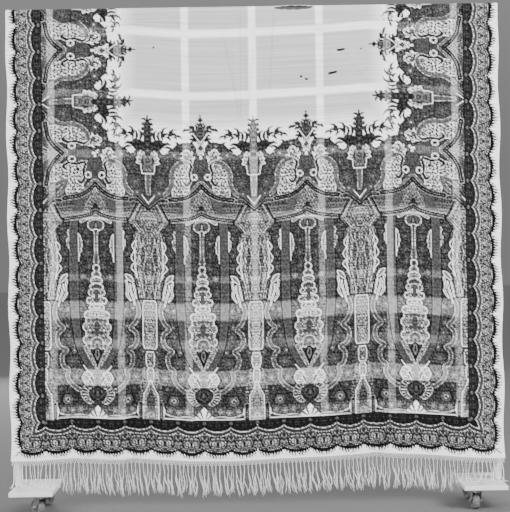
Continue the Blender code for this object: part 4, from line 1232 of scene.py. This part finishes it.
def strand_paths(side, folds):
    """Four points for each strand: out of the heading, at a knee, and down or over the board to its tip."""
    random = np.random.default_rng(7 + side)
    half = HALF_CLOTH - 0.003
    edges = np.linspace(-half, half, STRANDS + 1)
    x = (edges[1:] + edges[:-1]) / 2
    hem = fall(side, x, np.ones(STRANDS), folds)
    draws = random.uniform(size=(STRANDS, 3))
    lean = 0.004 * np.sin(9.0 * x + side) + 0.003 + 0.0036 * (draws[:, 0] - 0.5)
    length = FRINGE - HEADING - 0.008 + 0.014 * draws[:, 1]
    sway = -0.003 + 0.006 * draws[:, 2]
    y = hem[:, 1]
    z = hem[:, 2] - HEM_GAP - HEADING
    rest = BOARD_TOP + SEAM + STRAND_DEPTH / 2 + 0.0004
    hanging = np.stack([
        np.stack([x, y, z], axis=-1),
        np.stack([x + 0.15 * lean, y + 0.6 * sway, z - 0.30 * length], axis=-1),
        np.stack([x + 0.45 * lean, y + sway, z - 0.62 * length], axis=-1),
        np.stack([x + lean, y + 0.5 * sway, z - length], axis=-1),
    ], axis=1)
    lying_length = np.maximum(length - (z - rest) - 0.016, 0.012)
    away = np.where(side < 0, 0.30 * np.sign(lean), 0.15)
    away_length = np.hypot(away, 1)
    bent = np.stack([
        np.stack([x, y, z], axis=-1),
        np.stack([x + 0.2 * lean, y + side * 0.004, np.full(STRANDS, rest + 0.016)], axis=-1),
        np.stack([x + 0.3 * lean, y + side * 0.018, np.full(STRANDS, rest)], axis=-1),
        np.stack([x + 0.3 * lean + away / away_length * lying_length,
                  y + side * 0.018 + side / away_length * lying_length, np.full(STRANDS, rest)], axis=-1),
    ], axis=1)
    return np.where((np.abs(x) < FREE_HALF)[:, None, None], hanging, bent)


def along_paths(paths, steps):
    """Each path in even steps from its first point to its last, straight between them and then smoothed."""
    place = np.linspace(0, paths.shape[1] - 1, steps)
    low = np.minimum(place.astype(int), paths.shape[1] - 2)
    share = (place - low)[:, None]
    walked = paths[:, low] * (1 - share) + paths[:, low + 1] * share
    for _ in range(2):
        walked[:, 1:-1] = walked[:, 1:-1] / 2 + (walked[:, :-2] + walked[:, 2:]) / 4
    return walked


def strands(side, folds):
    """Twisted plies round every strand's path, apart at the tips."""
    random = np.random.default_rng(21 + side)
    paths = along_paths(strand_paths(side, folds), PLY_STEPS)
    share = np.linspace(0, 1, PLY_STEPS)
    draws = random.uniform(size=(5, STRANDS, 1))
    hangs = (np.abs(paths[:, :1, 0]) < FREE_HALF) * 1.0
    waves = (0.5 + 1.2 * draws[1]) * share + draws[2]
    swing = (SWING_LEAST + SWING_MORE * draws[0]) * np.sin(2 * np.pi * waves)
    top = paths[:, :1, 0]
    clump = 0.0075 * (draws[3] - 0.5)
    for reach, pace, phase in CLUMPS:
        clump = clump + reach * np.sin(pace * top + phase * side)
    paths[..., 0] += hangs * (swing * share + (clump + 0.006 * np.sin(1.9 * top + 1.2)) * share**1.6)
    paths[..., 1] += hangs * 0.0035 * share * np.sin(2 * np.pi * (share + draws[4]))
    paths[..., 0] += (1 - hangs) * (0.8 * swing + 0.5 * clump) * np.sin(np.pi * share)
    plies = []
    for ply in range(3):
        turn = 2 * np.pi * (ply / 3 + TWISTS * share + random.uniform(size=(STRANDS, 1)) * 0.4)
        frayed = ease((share - FRAYS_FROM) / (1 - FRAYS_FROM))
        apart = PLY_APART + FRAYED_APART * frayed * random.uniform(0.3, 1.0, (STRANDS, 1))
        fat = np.ones(STRANDS)
        fat[:CORNER_STRANDS] = CORNER_FATTER
        fat[-CORNER_STRANDS:] = CORNER_FATTER
        stray = ease((share - 0.25) / 0.75) * random.uniform(-1, 1, (STRANDS, 1)) * STRAY
        rise = -0.006 * share * random.uniform(-1, 0.6, (STRANDS, 1)) * hangs
        offset = np.stack([np.cos(turn) * apart + stray, np.sin(turn) * apart, rise], axis=-1)
        lifted = paths + offset * fat[:, None, None]
        radii = PLY_RADIUS * fat[:, None] * (1 - 0.35 * ease((share - 0.85) / 0.15))
        plies.append(tubes(lifted, radii, TUBE_SIDES, (1.0, 0.0, 0.0)))
    return plies


def netting(side, folds):
    """Two families of slanting threads that cross as a net below the hem."""
    families = []
    count = round(2 * HALF_CLOTH / NET_PITCH)
    for lean in (-1, 1):
        start = (np.arange(count + 1) / count * 2 - 1) * (HALF_CLOTH - 0.004)
        share = np.linspace(0, 1, 5)
        run = lean * NET_ROWS * NET_PITCH / 2 * share[None, :]
        x = np.clip(start[:, None] + run, -HALF_CLOTH + 0.003, HALF_CLOTH - 0.003)
        hem = fall(side, x, np.ones(x.shape), folds)
        z = hem[..., 2] + 0.0006 - (HEADING + 0.0006) * share
        y = hem[..., 1] + lean * 0.0005 * np.cos(np.pi * NET_ROWS * 2 * share)
        threads = np.stack([x, y, z], axis=-1)
        families.append(tubes(threads, np.full(x.shape, NET_RADIUS), TUBE_SIDES, (0.0, 1.0, 0.0)))
    return families


def knots(side, folds):
    """A small knot where each strand leaves the net: a short fat tube with tapered ends."""
    top = strand_paths(side, folds)[:, 0]
    share = np.linspace(-1, 1, 5)
    paths = top[:, None] + np.stack([0 * share, 0 * share, -KNOT_HALF * share], axis=-1)
    radii = KNOT_RADIUS * np.sqrt(np.clip(1.04 - share**2, 0, 1)) * np.ones((STRANDS, 1))
    return [tubes(paths, radii, TUBE_SIDES, (1.0, 0.0, 0.0))]


for label, side, folds in (("front", -1, FRONT_FOLDS), ("back", 1, BACK_FOLDS)):
    points, faces = join([*netting(side, folds), *knots(side, folds), *strands(side, folds)])
    item = mesh_piece(f"knotted_fringe_{label}", points, faces, yarn)
    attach(item, "stand_and_shawl")
    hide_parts(f"fringe_{label}")

# %% [markdown]
# The stand is pale painted wood, handled for years. Its rail gets near-black paint as painted shade, for
# the shadow that shows black through the rip above it. Its solids are right as they are, so they keep
# their meshes and only their materials change. Paint is even but for faint brush marks along the board,
# grey dirt in patches and a few scuffs. The casters are dull plated steel with hard tyres.

# %% Paint, steel and tyres
def stand_paint(name, shade):
    material, surface, start = new_material(name, 0.5)
    place = start.node("ShaderNodeTexCoord", {}, {}, "Object")
    strokes = place.drawn_out((30.0, 160.0, 160.0), 3.0)
    dirt = start.noise(place, 18.0, 5.0)
    scuff = start.noise(place, 95.0, 4.0).between(0.66, 0.74)
    tone = shade * (1.0 + 0.16 * (strokes - 0.5) - 0.36 * dirt.between(0.52, 0.72) - 0.38 * scuff)
    start.plug(surface.inputs["Base Color"], tone.grey())
    start.plug(surface.inputs["Roughness"], 0.42 + 0.3 * dirt)
    bump(start, surface, strokes - 0.5 * scuff, 0.0006, 0.4)
    return material


def plated_steel():
    material, surface, start = new_material("dull plated steel", 0.38, 0.85)
    place = start.node("ShaderNodeTexCoord", {}, {}, "Object")
    bloom = start.noise(place, 140.0, 4.0)
    rust = start.noise(place, 60.0, 5.0).between(0.60, 0.72)
    start.plug(surface.inputs["Base Color"], (0.46 - 0.16 * bloom - 0.20 * rust).grey())
    start.plug(surface.inputs["Roughness"], 0.30 + 0.25 * bloom + 0.25 * rust)
    bump(start, surface, bloom, 0.0002)
    return material


def hard_tyre():
    material, surface, start = new_material("hard tyre", 0.6)
    place = start.node("ShaderNodeTexCoord", {}, {}, "Object")
    dust = start.noise(place, 120.0, 4.0)
    start.plug(surface.inputs["Base Color"], (0.10 + 0.12 * dust.between(0.45, 0.75)).grey())
    start.plug(surface.inputs["Roughness"], 0.5 + 0.3 * dust)
    bump(start, surface, dust, 0.0002)
    return material


paint = stand_paint("pale paint", 0.60)
# The rail's near-black paint is painted shade, for the shadow that shows through the rip above it.
rail_shade_paint = stand_paint("painted shade rail paint", 0.05)
steel = plated_steel()
tyre = hard_tyre()
for name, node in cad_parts.items():
    if name == "rail":
        # The rail gets the painted shade.
        node.data.materials[0] = rail_shade_paint
    elif name.startswith(("upright", "foot_board")):
        node.data.materials[0] = paint
    elif name.endswith("_wheel"):
        node.data.materials[0] = tyre
    elif name.startswith("caster"):
        node.data.materials[0] = steel
print("repainted", [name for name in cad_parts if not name.startswith(("shawl", "fringe"))])

# %% [markdown]
# Each stretch of the shawl that shows is a piece of its own. The whole shawl is one length of 1.652 m by
# 3.05 m, with a fringe at each end.

# %% [markdown]
# A wide plain floor under a grey sky that brightens upwards shows the object from any side, with no wall
# to hide its back. The photograph was taken from straight in front with a long lens, and turned by less
# than a degree. Large soft lamps give it even light with a little more from one side, so that folds and
# creases still read.

# %% Floor, light and camera
floor_material, floor_surface, _ = new_material("plain floor", 0.9)
FLOOR_TONE = 0.11
FLOOR_ENDS = (-40.0, 40.0)
floor_surface.inputs["Base Color"].default_value = (FLOOR_TONE, FLOOR_TONE, FLOOR_TONE, 1.0)
corner_points = np.array([(x, y, 0.0) for y in FLOOR_ENDS for x in FLOOR_ENDS])
floor = mesh_piece("floor", corner_points, [grid_faces(2, 2, turned=True)], floor_material)

LIT_POINT = Vector((0, 0, 0.85))
LAMPS = [
    # name, place, size, watts
    ("key", (3.0, -4.2, 3.2), 2.4, 640.0),
    ("fill", (-3.4, -4.4, 1.6), 3.2, 320.0),
    ("top", (0.0, 0.6, 4.6), 2.4, 60.0),
    ("back", (-2.0, 6.5, 2.2), 3.0, 170.0),
]
for name, place, size, watts in LAMPS:
    lamp = bpy.data.lights.new(name, "AREA")
    lamp.shape = "DISK"
    lamp.size = size
    lamp.energy = watts
    item = bpy.data.objects.new(name, lamp)
    item.location = place
    item.rotation_euler = (LIT_POINT - Vector(place)).to_track_quat("-Z", "Y").to_euler()
    bpy.context.scene.collection.objects.link(item)

SKY_LOW = 0.20
SKY_HIGH = 1.00
SKY_FULL_AT = 0.75
world = bpy.data.worlds.new("studio")
world.use_nodes = True
sky = Shade(world.node_tree, None)
up = sky.node("ShaderNodeTexCoord", {}, {}, "Generated").part(2)
brightness = SKY_LOW + (SKY_HIGH - SKY_LOW) * up.between(0.0, SKY_FULL_AT)
sky.plug(world.node_tree.nodes["Background"].inputs["Color"], brightness.grey())
bpy.context.scene.world = world

PHOTO_WIDE = 510
DISTANCE = 6.0
CLOTH_PLANE = -0.03
EYE_HEIGHT = 0.845
SENSOR = 36.0
ROLL = math.radians(0.85)
camera = bpy.data.cameras.new("camera")
camera.sensor_fit = "HORIZONTAL"
camera.sensor_width = SENSOR
camera.lens = SENSOR * DISTANCE / (PHOTO_WIDE * SQUARE)
eye = bpy.data.objects.new("camera", camera)
eye.location = (0.0, CLOTH_PLANE - DISTANCE, EYE_HEIGHT)
eye.rotation_euler = (math.pi / 2, ROLL, 0.0)
bpy.context.scene.collection.objects.link(eye)
bpy.context.scene.camera = eye
print("lens", round(camera.lens, 1), "mm")
